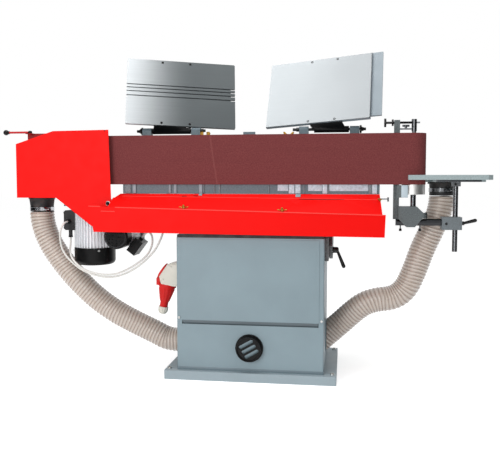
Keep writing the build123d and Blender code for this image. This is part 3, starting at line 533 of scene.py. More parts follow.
class Palette:
    """Every finish of the machine, made once and handed out by name."""

    FINISHES = (
        Paint("cabinet_paint", tint(135, 154, 162), gloss=0.42),
        Paint("base_paint", tint(156, 171, 178), gloss=0.45),
        # Darker paint for a strip low across the cabinet front: painted shade.
        Paint("foot_paint", tint(112, 128, 136), gloss=0.45),
        # Darker grey for the panel's folded lower lip: painted shade.
        Paint("lip_paint", tint(100, 112, 118), gloss=0.45),
        Paint("bed_paint", tint(97, 112, 120), gloss=0.5, flecks=0.15, fleck_scale=220, peel=0.3),
        Paint("yoke_paint", tint(94, 102, 104), gloss=0.5, flecks=0.25, fleck_scale=220, peel=0.3),
        Paint("block_paint", tint(112, 120, 124), gloss=0.45, flecks=0.15),
        Paint("dark_casting", tint(110, 112, 114), gloss=0.5, flecks=0.5, fleck_scale=130, peel=0.4),
        Paint("pale_plate", tint(196, 212, 221), gloss=0.35),
        Paint("casting_paint", tint(122, 132, 138), gloss=0.5, flecks=0.35, fleck_scale=220, peel=0.3),
        Paint("bare_casting", tint(196, 210, 220), gloss=0.45, flecks=0.16, fleck_scale=110, peel=0.9,
              peel_scale=90),
        Paint("table_paint", tint(162, 177, 179), gloss=0.45, flecks=0.08, fleck_scale=200, peel=0.2),
        Paint("flange_paint", tint(143, 155, 163), gloss=0.4),
        Paint("hood_red", tint(250, 20, 17), gloss=0.4, clouding=0.015, peel=0.03, specular=0.06),
        # Darker red for the hood's back plate: painted shade.
        Paint("back_red", tint(138, 16, 16), gloss=0.4, clouding=0.03, specular=0.14),
        # Lighter red for rods along the skirt's folds: painted highlight.
        Paint("worn_red", tint(255, 78, 72), gloss=0.4, clouding=0.1, specular=0.14),
        Paint("lever_red", tint(196, 30, 36), gloss=0.35, specular=0.3),
        Paint("dark_paint", tint(52, 55, 60), gloss=0.4, flecks=0.2),
        Moulded("black_plastic", tint(9, 9, 10), gloss=0.34, dust=0.0, specular=0.2),
        Moulded("box_black", tint(27, 28, 30), gloss=0.4, dust=0.03, specular=0.4),
        Moulded("knob_black", tint(12, 12, 13), gloss=0.24, grain=0.02, dust=0.03, specular=0.35),
        Moulded("rubber_black", tint(28, 28, 30), gloss=0.6, dust=0.2),
        Moulded("red_plastic", tint(216, 30, 28), gloss=0.38, dust=0.02, specular=0.25),
        Moulded("white_plastic", tint(226, 224, 212), gloss=0.4, dust=0.08),
        Moulded("cable_white", tint(232, 231, 226), gloss=0.42, dust=0.1),
        Moulded("hose_wire", tint(134, 102, 86), gloss=0.3),
        Brushed("motor_alloy", tint(240, 242, 245), gloss=0.42, grain=Grain.ALONG_Z, metal=0.15,
                contrast=0.05),
        Brushed("steel", tint(186, 188, 190), gloss=0.34),
        Polished("chrome", tint(196, 198, 202)),
        Polished("dark_chrome", tint(128, 130, 133), gloss=0.24, marks=0.003),
        Polished("bar_steel", tint(62, 63, 65), gloss=0.18),
        Polished("drum_steel", tint(222, 221, 219), gloss=0.42, marks=0.003),
        Polished("brass", tint(178, 136, 62), gloss=0.28),
        Polished("zinc", tint(210, 212, 210), gloss=0.3),
        AbrasiveCloth("abrasive_cloth"),
        HoseSkin("hose_skin"),
    )

    def __init__(self) -> None:
        """Make every material."""
        self.materials = {finish.name: finish.material() for finish in self.FINISHES}

    def add(self, finish: Finish) -> None:
        """Make one more material."""
        self.materials[finish.name] = finish.material()

    def __getitem__(self, name: str) -> bpy.types.Material:
        """Return a material by its finish's name."""
        return self.materials[name]


@dataclass(frozen=True)
class Spot:
    """A place to build at: an origin, the direction of its Z axis and roughly that of its X axis."""

    at: Triple = (0, 0, 0)
    up: Triple = (0, 0, 1)
    along: Triple = (1, 0, 0)

    @classmethod
    def between(cls, start: Triple, end: Triple) -> "Spot":
        """Return the spot at a start whose Z axis points to an end.

        Args:
            start: The origin.
            end: The point that Z points to.

        Returns:
            The spot.
        """
        reach = Vector(end) - Vector(start)
        side = (0, 1, 0) if abs(reach.normalized().x) > 0.9 else (1, 0, 0)
        return cls(start, tuple(reach), side)

    def matrix(self) -> Matrix:
        """Work out the spot's frame.

        Returns:
            The frame in millimetres.
        """
        rise = Vector(self.up).normalized()
        across = Vector(self.along)
        across = (across - rise * across.dot(rise)).normalized()
        turn = Matrix((across, rise.cross(across), rise)).transposed().to_4x4()
        return Matrix.Translation(Vector(self.at)) @ turn


class Facing(Enum):
    """The side that a fitting faces, with the direction of its own X axis."""

    FRONT = ((0, -1, 0), (1, 0, 0))
    LEFT = ((-1, 0, 0), (0, 1, 0))
    RIGHT = ((1, 0, 0), (0, 1, 0))
    UP = ((0, 0, 1), (1, 0, 0))
    DOWN = ((0, 0, -1), (1, 0, 0))

    def spot(self, at: Triple) -> Spot:
        """Return a spot that faces this side."""
        return Spot(at, *self.value)


@dataclass(frozen=True)
class Screw:
    """A screw head with its drive recess."""

    radius: float
    height: float
    recess: Recess


@dataclass(frozen=True)
class Knob:
    """A knob or nut whose rim swells into lobes about its radius, with rounded rims."""

    lobes: int
    radius: float
    swell: float
    depth: float
    edge: float = 1.2


@dataclass(frozen=True)
class WingNut:
    """A wing nut: its hub's radius at the seat, its wings' reach to each side and their height."""

    hub: float
    span: float
    height: float


@dataclass(frozen=True)
class HoseBand:
    """A hose clamp: its inner radius, its rims' heights and where its worm housing sits, in degrees."""

    radius: float
    low: float
    high: float
    clamp_angle: float


class Shape:
    """A mesh under construction, in millimetres in the machine's frame."""

    def __init__(self) -> None:
        """Start with nothing."""
        self.whole = bmesh.new()

    @staticmethod
    def soften(piece: Mesh, edges: list, size: float, steps: int = 2) -> None:
        """Round some edges of a piece."""
        bmesh.ops.bevel(piece, geom=edges, offset=size, offset_type="OFFSET", affect="EDGES", segments=steps,
                        profile=0.5, material=-1, clamp_overlap=True)

    @staticmethod
    def lift(piece: Mesh, depth: float) -> None:
        """Raise a flat piece into a solid along Z.

        Args:
            piece: The piece.
            depth: How far it is raised.
        """
        made = bmesh.ops.extrude_face_region(piece, geom=piece.faces[:])["geom"]
        corners = [part for part in made if isinstance(part, bmesh.types.BMVert)]
        bmesh.ops.translate(piece, vec=(0, 0, depth), verts=corners)

    @staticmethod
    def lathe(profile: Profile, steps: int) -> Mesh:
        """Turn a profile round the Z axis.

        Args:
            profile: Pairs of radius and height, which meet the axis or themselves at both ends.
            steps: Facets round the axis.

        Returns:
            The turned piece.
        """
        piece = bmesh.new()
        corners = [piece.verts.new((radius, 0, height)) for radius, height in profile]
        edges = [piece.edges.new(pair) for pair in zip(corners, corners[1:])]
        bmesh.ops.spin(piece, geom=corners + edges, cent=(0, 0, 0), axis=(0, 0, 1), angle=math.tau,
                       steps=steps, use_merge=True)
        return piece

    def take(self, piece: Mesh, place: Matrix) -> "Shape":
        """Set a finished piece in its place and join it to the rest.

        Args:
            piece: The piece, which is used up.
            place: Where it goes, in millimetres.

        Returns:
            This shape.
        """
        bmesh.ops.remove_doubles(piece, verts=piece.verts, dist=1e-4)
        bmesh.ops.recalc_face_normals(piece, faces=piece.faces)
        bmesh.ops.transform(piece, matrix=place, verts=piece.verts)
        carrier = bpy.data.meshes.new("carrier")
        piece.to_mesh(carrier)
        piece.free()
        self.whole.from_mesh(carrier)
        bpy.data.meshes.remove(carrier)
        return self

    def slab(self, low: Triple, high: Triple, edge: float = 0.8,
             place: Matrix = Matrix.Identity(4)) -> "Shape":
        """Add a block with rounded edges.

        Args:
            low: Its lowest corner.
            high: Its highest corner.
            edge: The rounding of its edges.
            place: The frame that the corners are given in.

        Returns:
            This shape.
        """
        piece = bmesh.new()
        bmesh.ops.create_cube(piece, size=1)
        bmesh.ops.scale(piece, vec=Vector(high) - Vector(low), verts=piece.verts)
        bmesh.ops.translate(piece, vec=(Vector(high) + Vector(low)) / 2, verts=piece.verts)
        self.soften(piece, piece.edges[:], edge)
        return self.take(piece, place)

    def prism(self, outline: Profile, depth: float, place: Matrix, edge: float = 0.0) -> "Shape":
        """Add an outline in a plane, raised by a depth.

        Args:
            outline: The outline's corners.
            depth: How far it is raised along the place's Z axis.
            place: The plane.
            edge: The rounding of its edges.

        Returns:
            This shape.
        """
        piece = bmesh.new()
        piece.faces.new([piece.verts.new((x, y, 0)) for x, y in outline])
        self.lift(piece, depth)
        if edge:
            self.soften(piece, piece.edges[:], edge)
        return self.take(piece, place)

    def turned(self, profile: Profile, spot: Spot, steps: int = 32) -> "Shape":
        """Add a turned part with the foot of its axis at a spot."""
        return self.take(self.lathe(profile, steps), spot.matrix())

    def star(self, knob: Knob, spot: Spot) -> "Shape":
        """Add a knob.

        Args:
            knob: The knob.
            spot: The middle of its lower face.

        Returns:
            This shape.
        """
        piece = bmesh.new()
        segments = knob.lobes * 8
        rim = bmesh.ops.create_circle(piece, cap_ends=True, radius=knob.radius, segments=segments)["verts"]
        for corner in rim:
            angle = math.atan2(corner.co.y, corner.co.x)
            corner.co *= 1 + knob.swell / knob.radius * math.cos(knob.lobes * angle)
        self.lift(piece, knob.depth)
        flat = [line for line in piece.edges if abs(line.verts[0].co.z - line.verts[1].co.z) < 1e-6]
        self.soften(piece, flat, knob.edge, 3)
        return self.take(piece, spot.matrix())

    def screw(self, head: Screw, spot: Spot) -> "Shape":
        """Add a screw head.

        Args:
            head: The screw head.
            spot: The middle of its seat, with Z pointing out of the head.

        Returns:
            This shape.
        """
        radius, height = head.radius, head.height
        socket, floor = radius * 0.52, height * 0.35
        piece = self.lathe(((0, 0), (radius, 0), (radius, height * 0.6), (radius * 0.82, height),
                            (socket, height), (socket, floor), (0, floor)), 24)
        sector = math.tau / head.recess.value
        for corner in piece.verts:
            if abs(corner.co.xy.length - socket) < 1e-4:
                angle = math.atan2(corner.co.y, corner.co.x) % sector - sector / 2
                squeeze = math.cos(sector / 2) / math.cos(angle)
                if head.recess is Recess.CROSS:
                    squeeze = 0.42 + 0.7 * abs(angle) / sector * 2
                corner.co.xy *= squeeze
        return self.take(piece, spot.matrix())

    def rod(self, start: Triple, end: Triple, radius: float, tip: float | None = None,
            edge: float = 0.8) -> "Shape":
        """Add a round bar.

        Args:
            start: The middle of its foot.
            end: The middle of its tip.
            radius: Its radius.
            tip: Its radius at the tip, where that differs.
            edge: The bevel of its rims.

        Returns:
            This shape.
        """
        length = (Vector(end) - Vector(start)).length
        tip = radius if tip is None else tip
        profile = ((0, 0), (radius - edge, 0), (radius, edge), (tip, length - edge), (tip - edge, length),
                   (0, length))
        return self.turned(profile, Spot.between(start, end), 24)

    def ball(self, centre: Triple, radius: float) -> "Shape":
        """Add a ball.

        Args:
            centre: Its centre.
            radius: Its radius.

        Returns:
            This shape.
        """
        piece = bmesh.new()
        bmesh.ops.create_uvsphere(piece, u_segments=28, v_segments=18, radius=radius)
        return self.take(piece, Matrix.Translation(Vector(centre)))

    def thread(self, start: Triple, end: Triple, radius: float, pitch: float) -> "Shape":
        """Add a threaded rod, drawn as close rings.

        Args:
            start: The middle of its foot.
            end: The middle of its tip.
            radius: The radius of its crests.
            pitch: The distance between them.

        Returns:
            This shape.
        """
        turns = max(2, int((Vector(end) - Vector(start)).length / pitch))
        root = radius - pitch * 0.35
        profile = [(0.0, 0.0)]
        for turn in range(turns):
            profile += [(root, turn * pitch), (radius, (turn + 0.5) * pitch)]
        profile += [(root, turns * pitch), (0.0, turns * pitch)]
        return self.turned(profile, Spot.between(start, end), 20)

    def wing_nut(self, nut: WingNut, spot: Spot) -> "Shape":
        """Add a wing nut.

        Args:
            nut: The wing nut.
            spot: The middle of its seat.

        Returns:
            This shape.
        """
        hub, span, height = nut.hub, nut.span, nut.height
        bore, hub_height, thickness = hub * 0.45, 8.5, 3.0
        self.turned(((bore, 0), (hub, 0), (hub, 2), (hub * 0.78, hub_height), (bore, hub_height), (bore, 0)),
                    spot)
        upright = Matrix.Translation((0, thickness / 2, 0)) @ Matrix.Rotation(math.pi / 2, 4, "X")
        wing = ((hub * 0.55, 1.5), (hub * 0.95, 2), (span * 0.8, height * 0.45), (span, height * 0.8),
                (span * 0.92, height), (span * 0.7, height * 0.98), (hub * 0.6, height * 0.5))
        for side in (-1, 1):
            self.prism(tuple((side * x, z) for x, z in wing), thickness, spot.matrix() @ upright, 0.9)
        return self

    def band(self, band: HoseBand, spot: Spot) -> "Shape":
        """Add a hose clamp: a band with rolled rims, a worm housing, its screw and five notches.

        Args:
            band: The hose clamp.
            spot: The foot of the hose's axis.

        Returns:
            This shape.
        """
        radius, low, high = band.radius, band.low, band.high
        outer, rim = radius + 1.0, radius + 1.5
        self.turned(((radius, low), (rim, low), (rim, low + 1.5), (outer, low + 2), (outer, high - 2),
                     (rim, high - 1.5), (rim, high), (radius, high), (radius, low)), spot, 64)
        around = spot.matrix() @ Matrix.Rotation(math.radians(band.clamp_angle), 4, "Z")
        self.slab((outer - 0.5, -9, low + 2), (outer + 6, 9, high - 2), 1.2, around)
        start, end = (tuple(around @ Vector((outer + 3, y, (low + high) / 2))) for y in (8, 15))
        self.rod(start, end, 4.2)
        for notch in range(5):
            angle = math.radians(band.clamp_angle - 26 - 5 * notch)
            turn = spot.matrix() @ Matrix.Rotation(angle, 4, "Z")
            self.slab((outer - 0.4, -0.7, low + 3), (outer + 0.5, 0.7, high - 3), 0.3, turn)
        return self

    def piece(self, name: str, material: bpy.types.Material, sharp: float = 35) -> Item:
        """Turn the shape into an object in metres.

        Args:
            name: The piece's name.
            material: Its finish.
            sharp: Edges sharper than this many degrees keep their crease.

        Returns:
            The object, at the origin.
        """
        bmesh.ops.scale(self.whole, vec=(MM, MM, MM), verts=self.whole.verts)
        item = meshed(name, self.whole, material)
        item.data.set_sharp_from_angle(angle=math.radians(sharp))
        return item


@dataclass
class Assembly:
    """What every sub-assembly shares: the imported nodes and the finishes."""

    nodes: dict[str, Item]
    palette: Palette

    @staticmethod
    def round_edges(node: Item, edge: float) -> None:
        """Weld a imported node, join its flat facets and round its sharp edges.

        Args:
            node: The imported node.
            edge: The rounding in millimetres.
        """
        weld = node.modifiers.new("weld", "WELD")
        weld.merge_threshold = 2e-5
        flat = node.modifiers.new("flat", "DECIMATE")
        flat.decimate_type = "DISSOLVE"
        flat.angle_limit = math.radians(1)
        rounding = node.modifiers.new("rounding", "BEVEL")
        rounding.width = edge * MM
        rounding.segments = 2
        rounding.limit_method = "ANGLE"
        rounding.angle_limit = math.radians(40)
        rounding.harden_normals = True

    def dress(self, finish: str, *names: str, edge: float = 0.0) -> None:
        """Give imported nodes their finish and, where asked, softened edges.

        Args:
            finish: The finish's name.
            names: The nodes.
            edge: The rounding of their sharp edges in millimetres.
        """
        for name in names:
            node = self.nodes[name]
            node.data.materials.clear()
            node.data.materials.append(self.palette[finish])
            if edge:
                self.round_edges(node, edge)
            LOG.info("dressed %s in %s", name, finish)

    def add(self, shape: Shape, name: str, finish: str, body: str, slot: str, *stands_for: str) -> Item:
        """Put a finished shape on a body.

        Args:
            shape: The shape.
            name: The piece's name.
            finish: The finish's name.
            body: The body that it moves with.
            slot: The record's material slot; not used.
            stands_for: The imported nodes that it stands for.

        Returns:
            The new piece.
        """
        item = shape.piece(name, self.palette[finish])
        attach(item, body)
        if stands_for:
            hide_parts(*stands_for)
        LOG.info("built %s on %s", name, body)
        return item


@dataclass
class Route:
    """The line that a hose or cable follows: a smooth curve over listed points."""

    name: str
    points: list[Triple]

    def curve(self) -> bpy.types.Curve:
        """Draw the route.

        Returns:
            A curve of one smooth open spline, in metres.
        """
        data = bpy.data.curves.new(self.name, "CURVE")
        data.dimensions = "3D"
        spline = data.splines.new("NURBS")
        spline.points.add(len(self.points) - 1)
        for knot, place in zip(spline.points, self.points):
            knot.co = (*(Vector(place) * MM), 1.0)
        spline.order_u = 3
        spline.use_endpoint_u = True
        spline.resolution_u = 24
        return data

    def line(self) -> list[Vector]:
        """Read close points from the curve.

        Returns:
            The points, in metres.
        """
        data = self.curve()
        holder = placed(self.name + "_line", data)
        bpy.context.view_layer.update()
        mesh = bpy.data.meshes.new_from_object(holder)
        found = [corner.co.copy() for corner in mesh.vertices]
        bpy.data.objects.remove(holder)
        bpy.data.curves.remove(data)
        bpy.data.meshes.remove(mesh)
        return found


@dataclass
class Hose:
    """A corrugated dust hose: a thin wall that sinks between the turns of a wire helix."""

    name: str
    route: Route
    lower: Triple
    upper: Triple
    length: float
    wall_cut: float | None = None
    radius: float = 51
    wall: float = 1.0
    facets: int = 48
    pitch: float = 14.0
    rings_per_turn: int = 6
    sink: float = 1.9
    rib_fullness: float = 0.6
    wire: float = 1.1
    wire_bedding: float = 0.6
    wire_facets: int = 6
    wire_steps: int = 28
    sway: float = 2.2
    sway_length: float = 37
    exit_shift: Triple = (22.5, 0, 0)

    def wander(self, angle: float, distance: float) -> float:
        """Return how far the winding strays along the hose at a place on it, in millimetres."""
        return self.sway * math.sin(2 * angle + distance / self.sway_length)

    def steps(self) -> tuple[list[Matrix], list[float]]:
        """Place a ring of corners again and again along the hose.

        Returns:
            The rings' frames, with Z along the hose, and their distances along it in millimetres.
        """
        line = self.route.line()
        spacing = self.pitch / self.rings_per_turn * MM
        frames: list[Matrix] = []
        reached: list[float] = []
        across = Vector((0, 1, 0))
        travelled = 0.0
        due = 0.0
        for here, after in zip(line, line[1:]):
            run = after - here
            ahead = run.normalized()
            while due <= travelled + run.length:
                across = (across - ahead * across.dot(ahead)).normalized()
                turn = Matrix((across, ahead.cross(across), ahead)).transposed().to_4x4()
                frames.append(Matrix.Translation(here + ahead * (due - travelled)) @ turn)
                reached.append(due / MM)
                due += spacing
            travelled += run.length
        return frames, reached

    @staticmethod
    def next_ring(mesh: Mesh, edges: list) -> tuple[list, list]:
        """Pull a new ring out of the last one.

        Args:
            mesh: The mesh.
            edges: The last ring's edges.

        Returns:
            The new ring's corners and edges.
        """
        made = bmesh.ops.extrude_edge_only(mesh, edges=edges)["geom"]
        ring = [part for part in made if isinstance(part, bmesh.types.BMVert)]
        return ring, [part for part in made if isinstance(part, bmesh.types.BMEdge)
                      and all(corner in ring for corner in part.verts)]

    def trim(self, mesh: Mesh) -> None:
        """Turn a tube's faces outward and cut it at the cabinet wall, where it meets that at a slant.

        Args:
            mesh: The tube.
        """
        bmesh.ops.recalc_face_normals(mesh, faces=mesh.faces)
        if self.wall_cut is not None:
            bmesh.ops.bisect_plane(mesh, geom=mesh.verts[:] + mesh.edges[:] + mesh.faces[:],
                                   plane_co=(self.wall_cut * MM, 0, 0), plane_no=(1, 0, 0), clear_inner=True)

    def skin(self, material: bpy.types.Material) -> Item:
        """Build the hose's wall, with its rib height stored on it.

        Args:
            material: Its finish.

        Returns:
            The wall.
        """
        mesh = bmesh.new()
        rib = mesh.verts.layers.float.new("rib")
        ring = bmesh.ops.create_circle(mesh, cap_ends=False, radius=1.0, segments=self.facets)["verts"]
        angles = [math.atan2(corner.co.y, corner.co.x) for corner in ring]
        edges = mesh.edges[:]
        for index, (frame, distance) in enumerate(zip(*self.steps())):
            if index:
                ring, edges = self.next_ring(mesh, edges)
            for corner, angle in zip(ring, angles):
                phase = (distance + self.wander(angle, distance)) / self.pitch * math.tau - angle
                height = (0.5 + 0.5 * math.cos(phase)) ** self.rib_fullness
                reach = (self.radius - self.sink * (1 - height)) * MM
                corner.co = frame @ Vector((reach * math.cos(angle), reach * math.sin(angle), 0))
                corner[rib] = 1 - height
        self.trim(mesh)
        bmesh.ops.solidify(mesh, geom=mesh.faces[:], thickness=self.wall * MM)
        return meshed(self.name, mesh, material)

    def helix(self, material: bpy.types.Material) -> Item:
        """Build the wire that the wall is wound on.

        Args:
            material: Its finish.

        Returns:
            The wire.
        """
        mesh = bmesh.new()
        frames, reached = self.steps()
        ring = bmesh.ops.create_circle(mesh, cap_ends=False, radius=self.wire * MM,
                                       segments=self.wire_facets)["verts"]
        rest = [corner.co.copy() for corner in ring]
        edges = mesh.edges[:]
        reach = (self.radius - self.wire * self.wire_bedding) * MM
        for step in range(int(reached[-1] / self.pitch * self.wire_steps)):
            turns = step / self.wire_steps
            angle = turns * math.tau
            along = turns * self.pitch
            at = min(len(frames) - 1, round(turns * self.rings_per_turn))
            outward = Vector((math.cos(angle), math.sin(angle), 0))
            shift = (along - self.wander(angle, along) - reached[at]) * MM
            middle = Vector((reach * math.cos(angle), reach * math.sin(angle), shift))
            if step:
                ring, edges = self.next_ring(mesh, edges)
            for corner, offset in zip(ring, rest):
                corner.co = frames[at] @ (middle + outward * offset.x + Vector((0, 0, offset.y)))
        self.trim(mesh)
        bmesh.ops.holes_fill(mesh, edges=[edge for edge in mesh.edges if edge.is_boundary], sides=0)
        return meshed(self.name + "_wire", mesh, material)

    def build(self, palette: Palette, node: str) -> None:
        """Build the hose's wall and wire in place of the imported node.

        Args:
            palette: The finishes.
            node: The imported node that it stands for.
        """
        skin = self.skin(palette["hose_skin"])
        wire = self.helix(palette["hose_wire"])
        start = Vector(self.lower) * MM
        end = Vector(self.upper) * MM
        for item in (skin, wire):
            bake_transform(item)
        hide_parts(node)
        path = self.route.line()
        if self.wall_cut is not None:
            path = [point for point in path if point.x >= self.wall_cut * MM]
        exit_point = path[0] + Vector(self.exit_shift) * MM
        [tuple(point) for point in path]
        LOG.info("built %s", self.name)


LEFT_HOSE = Hose(
    "left_hose",
    Route("left_hose_route", [
        (-934, -55, 664), (-934, -55, 618), (-900, -52, 525), (-845, -48, 445), (-782, -43, 368),
        (-704, -36, 291), (-614, -26, 226), (-524, -16, 178), (-436, -6, 136), (-384, 0, 106),
        (-318, 0, 106)]),
    lower=(-500, -14, 165), upper=(-930, -55, 640), length=887)

RIGHT_HOSE = Hose(
    "right_hose",
    Route("right_hose_route", [
        (763, 20, 734), (763, 20, 690), (728, 20, 600), (689, 20, 516), (660, 20, 428),
        (624, 20, 345), (572, 20, 308), (505, 21, 301), (449, 23, 280), (398, 26, 236),
        (346, 29, 185), (270, 30, 118)]),
    lower=(420, 25, 255), upper=(762, 20, 720), length=804, wall_cut=299.5)

MOTOR_CABLE = Route("motor_lead", [
    (-781, -141, 627), (-781, -160, 626.5), (-783, -179, 620), (-787, -192, 604), (-791, -196, 583),
    (-793, -192, 552), (-787, -186, 511), (-757, -180, 466), (-688, -174, 414), (-582, -165, 393),
    (-495, -150, 426), (-420, -136, 490), (-386, -126, 545), (-366, -118, 612), (-352, -115, 668),
    (-352, -115, 732.8)])

STROKE_CABLE = Route("stroke_lead", [
    (-777, -121, 562), (-777, -121, 536), (-770, -152, 502), (-738, -190, 466), (-684, -187, 424),
    (-582, -176, 405), (-504, -160, 436), (-440, -136, 484), (-421, -116, 530), (-424, -107, 566),
    (-437, -103, 584), (-455, -100, 581), (-469, -100, 562.4)])


@dataclass
class Cables(Assembly):
    """The two white leads from the main motor's box, with their glands and one sleeve."""

    radius: float = 4
    motor_length: float = 849
    stroke_length: float = 618
    motor_gland: Knob = Knob(6, 9.5, 0.7, 7)
    motor_gland_at: Triple = (-781, -137.5, 627)
    stroke_gland: Knob = Knob(6, 9.0, 0.7, 7)
    stroke_gland_at: Triple = (-777, -121, 567)
    sleeve: Profile = ((4.2, 0), (5.4, 0), (7.6, 30), (7.6, 34), (4.2, 34), (4.2, 0))
    sleeve_at: Triple = (-352, -115, 699)

    def lead(self, route: Route, node: str, length: float, *ends: Item) -> None:
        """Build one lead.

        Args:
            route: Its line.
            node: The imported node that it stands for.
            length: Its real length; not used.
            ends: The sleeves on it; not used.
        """
        data = route.curve()
        data.bevel_depth = self.radius * MM
        data.bevel_resolution = 4
        data.use_fill_caps = True
        data.materials.append(self.palette["cable_white"])
        item = placed(route.name, data)
        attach(item, "head")
        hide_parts(node)
        tuple(Vector(route.points[0]) * MM)
        LOG.info("built %s", route.name)

    def build(self) -> None:
        """Build both leads and the fittings at their ends."""
        glands = Shape().star(self.motor_gland, Facing.FRONT.spot(self.motor_gland_at))
        glands.star(self.stroke_gland, Facing.DOWN.spot(self.stroke_gland_at))
        self.add(glands, "lead_glands", "black_plastic", "head", "black_plastic")
        tube = Shape().turned(self.sleeve, Spot(self.sleeve_at))
        sleeve = self.add(tube, "motor_lead_sleeve", "rubber_black", "head", "rubber_black")
        self.lead(MOTOR_CABLE, "motor_cable", self.motor_length, sleeve)
        self.lead(STROKE_CABLE, "osc_cable", self.stroke_length)


@dataclass
class Stand(Assembly):
    """Base pan, cabinet, panel, deck, dust outlet and the fixed half of the tilt lock."""

    panel_screw: Screw = Screw(5.6, 4, Recess.CROSS)
    panel_screw_at: Triple = (285.5, -209, 249)
    floor_bolt: Screw = Screw(8.5, 7, Recess.HEX)
    floor_bolt_at: Triple = (328, 201, 36)
    outlet: Triple = (0, -226.5, 133)
    louvre: Triple = (31, 0.8, 9)
    louvre_turn: float = 30
    louvre_tilt: float = 24
    louvre_depth: float = 2
    louvre_step: float = 22
    foot_strip: Box = ((-294, -209.9, 38), (294, -209, 49))
    lip_shade: Box = ((-272, -28, 0.1), (272, -0.3, 0.8))
    lip_fold: Spot = Spot((0, -211, 240), (0, -0.876, -0.481))

    def louvres(self) -> Shape:
        """Build the three slanted blades behind the outlet's slots.

        Returns:
            The blades.
        """
        blades = Shape()
        half = Vector(self.louvre)
        middle = Matrix.Translation(Vector(self.outlet))
        middle @= Matrix.Rotation(math.radians(-self.louvre_turn), 4, "Y")
        tilt = Matrix.Rotation(math.radians(self.louvre_tilt), 4, "X")
        for row in (-1, 0, 1):
            step = Matrix.Translation((0, self.louvre_depth, row * self.louvre_step))
            blades.slab(tuple(-half), tuple(half), 0.4, middle @ step @ tilt)
        return blades

    def build(self) -> None:
        """Dress the sheet metal and build the small fittings."""
        self.dress("cabinet_paint", "cabinet", "front_panel", edge=0.8)
        # The deck plate's black finish stands for the shadow gap under the skirt: painted shadow.
        self.dress("rubber_black", "deck_plate", edge=0.8)
        self.dress("base_paint", "base_pan", edge=1.0)
        self.dress("black_plastic", "outlet_port")
        self.dress("cabinet_paint", "wall_collars")
        self.dress("casting_paint", "trunnion_block", edge=1.2)
        self.dress("dark_casting", "quadrant_cheek", edge=1.2)
        self.dress("dark_paint", "dust_plenum")
        screws = Shape()
        x, y, z = self.panel_screw_at
        for side in (-1, 1):
            screws.screw(self.panel_screw, Facing.FRONT.spot((side * x, y, z)))
        self.add(screws, "panel_screw_heads", "zinc", "stand", "chrome", "panel_screws")
        bolts = Shape()
        x, y, z = self.floor_bolt_at
        for side, end in product((-1, 1), (-1, 1)):
            bolts.screw(self.floor_bolt, Facing.UP.spot((side * x, end * y, z)))
        self.add(bolts, "floor_bolts", "zinc", "stand", "chrome")
        self.add(self.louvres(), "outlet_louvres", "cabinet_paint", "stand", "cabinet_paint")
        # A darker strip low across the cabinet front: painted shade.
        strip = Shape().slab(*self.foot_strip, 0.3)
        self.add(strip, "foot_strip", "foot_paint", "stand", "cabinet_paint")
        # A darker slab on the panel's downward-facing lower fold: painted shade.
        lip_shade = Shape().slab(*self.lip_shade, 0.2, self.lip_fold.matrix())
        self.add(lip_shade, "panel_lip_face", "lip_paint", "stand", "cabinet_paint")


@dataclass
class MainsInlet(Assembly):
    """Inlet housing, coupler with its spring lid, and the gland nut."""

    top: Triple = (-366, -85, 366)
    axis: Triple = (-28, 0, -150)
    cover: Profile = ((-300, 453), (-333, 453), (-354, 447), (-386, 400), (-380, 377), (-330, 367),
                      (-300, 367))
    cover_y: float = -126
    cover_depth: float = 4
    cover_screw: Screw = Screw(4, 2, Recess.CROSS)
    cover_screws_at: Profile = ((-308, 446), (-340, 444), (-374, 388), (-308, 374))
    ribs: int = 14
    rib_foot: Pair = (22, 32)
    rib_tip: Pair = (74, 19.6)
    rib_radii: Pair = (2.2, 1.4)
    nut: Knob = Knob(12, 20.4, 0.7, 20, 1.5)
    nut_distance: float = 100
    nut_cone: Profile = ((9, 18), (19, 18), (17, 26), (13, 30), (9, 30), (9, 18))

    def along(self, distance: float, out: float = 0.0, angle: float = 0.0) -> Triple:
        """Return a point on the coupler by its distance from the flange, radius and angle."""
        spot = Spot(self.top, self.axis, (0, 1, 0)).matrix()
        return tuple(spot @ Vector((out * math.cos(angle), out * math.sin(angle), distance)))

    def build(self) -> None:
        """Dress the plastics and build the cover, the grip ribs and the gland nut."""
        self.dress("white_plastic", "mains_inlet", edge=1.5)
        self.dress("red_plastic", "mains_coupler", "coupler_lid", edge=0.8)
        plane = Facing.FRONT.spot((0, self.cover_y, 0)).matrix()
        cover = Shape().prism(self.cover, self.cover_depth, plane, 1.6)
        for x, z in self.cover_screws_at:
            cover.screw(self.cover_screw, Facing.FRONT.spot((x, self.cover_y - self.cover_depth, z)))
        self.add(cover, "inlet_cover", "white_plastic", "stand", "white_plastic")
        grips = Shape()
        for rib in range(self.ribs):
            angle = rib / self.ribs * math.tau
            foot, tip = self.along(*self.rib_foot, angle), self.along(*self.rib_tip, angle)
            grips.rod(foot, tip, *self.rib_radii, 0.4)
        self.add(grips, "coupler_grips", "red_plastic", "stand", "red_plastic")
        seat = Spot(self.along(self.nut_distance), self.axis)
        nut = Shape().star(self.nut, seat).turned(self.nut_cone, seat)
        self.add(nut, "gland_nut", "white_plastic", "stand", "white_plastic", "coupler_gland")


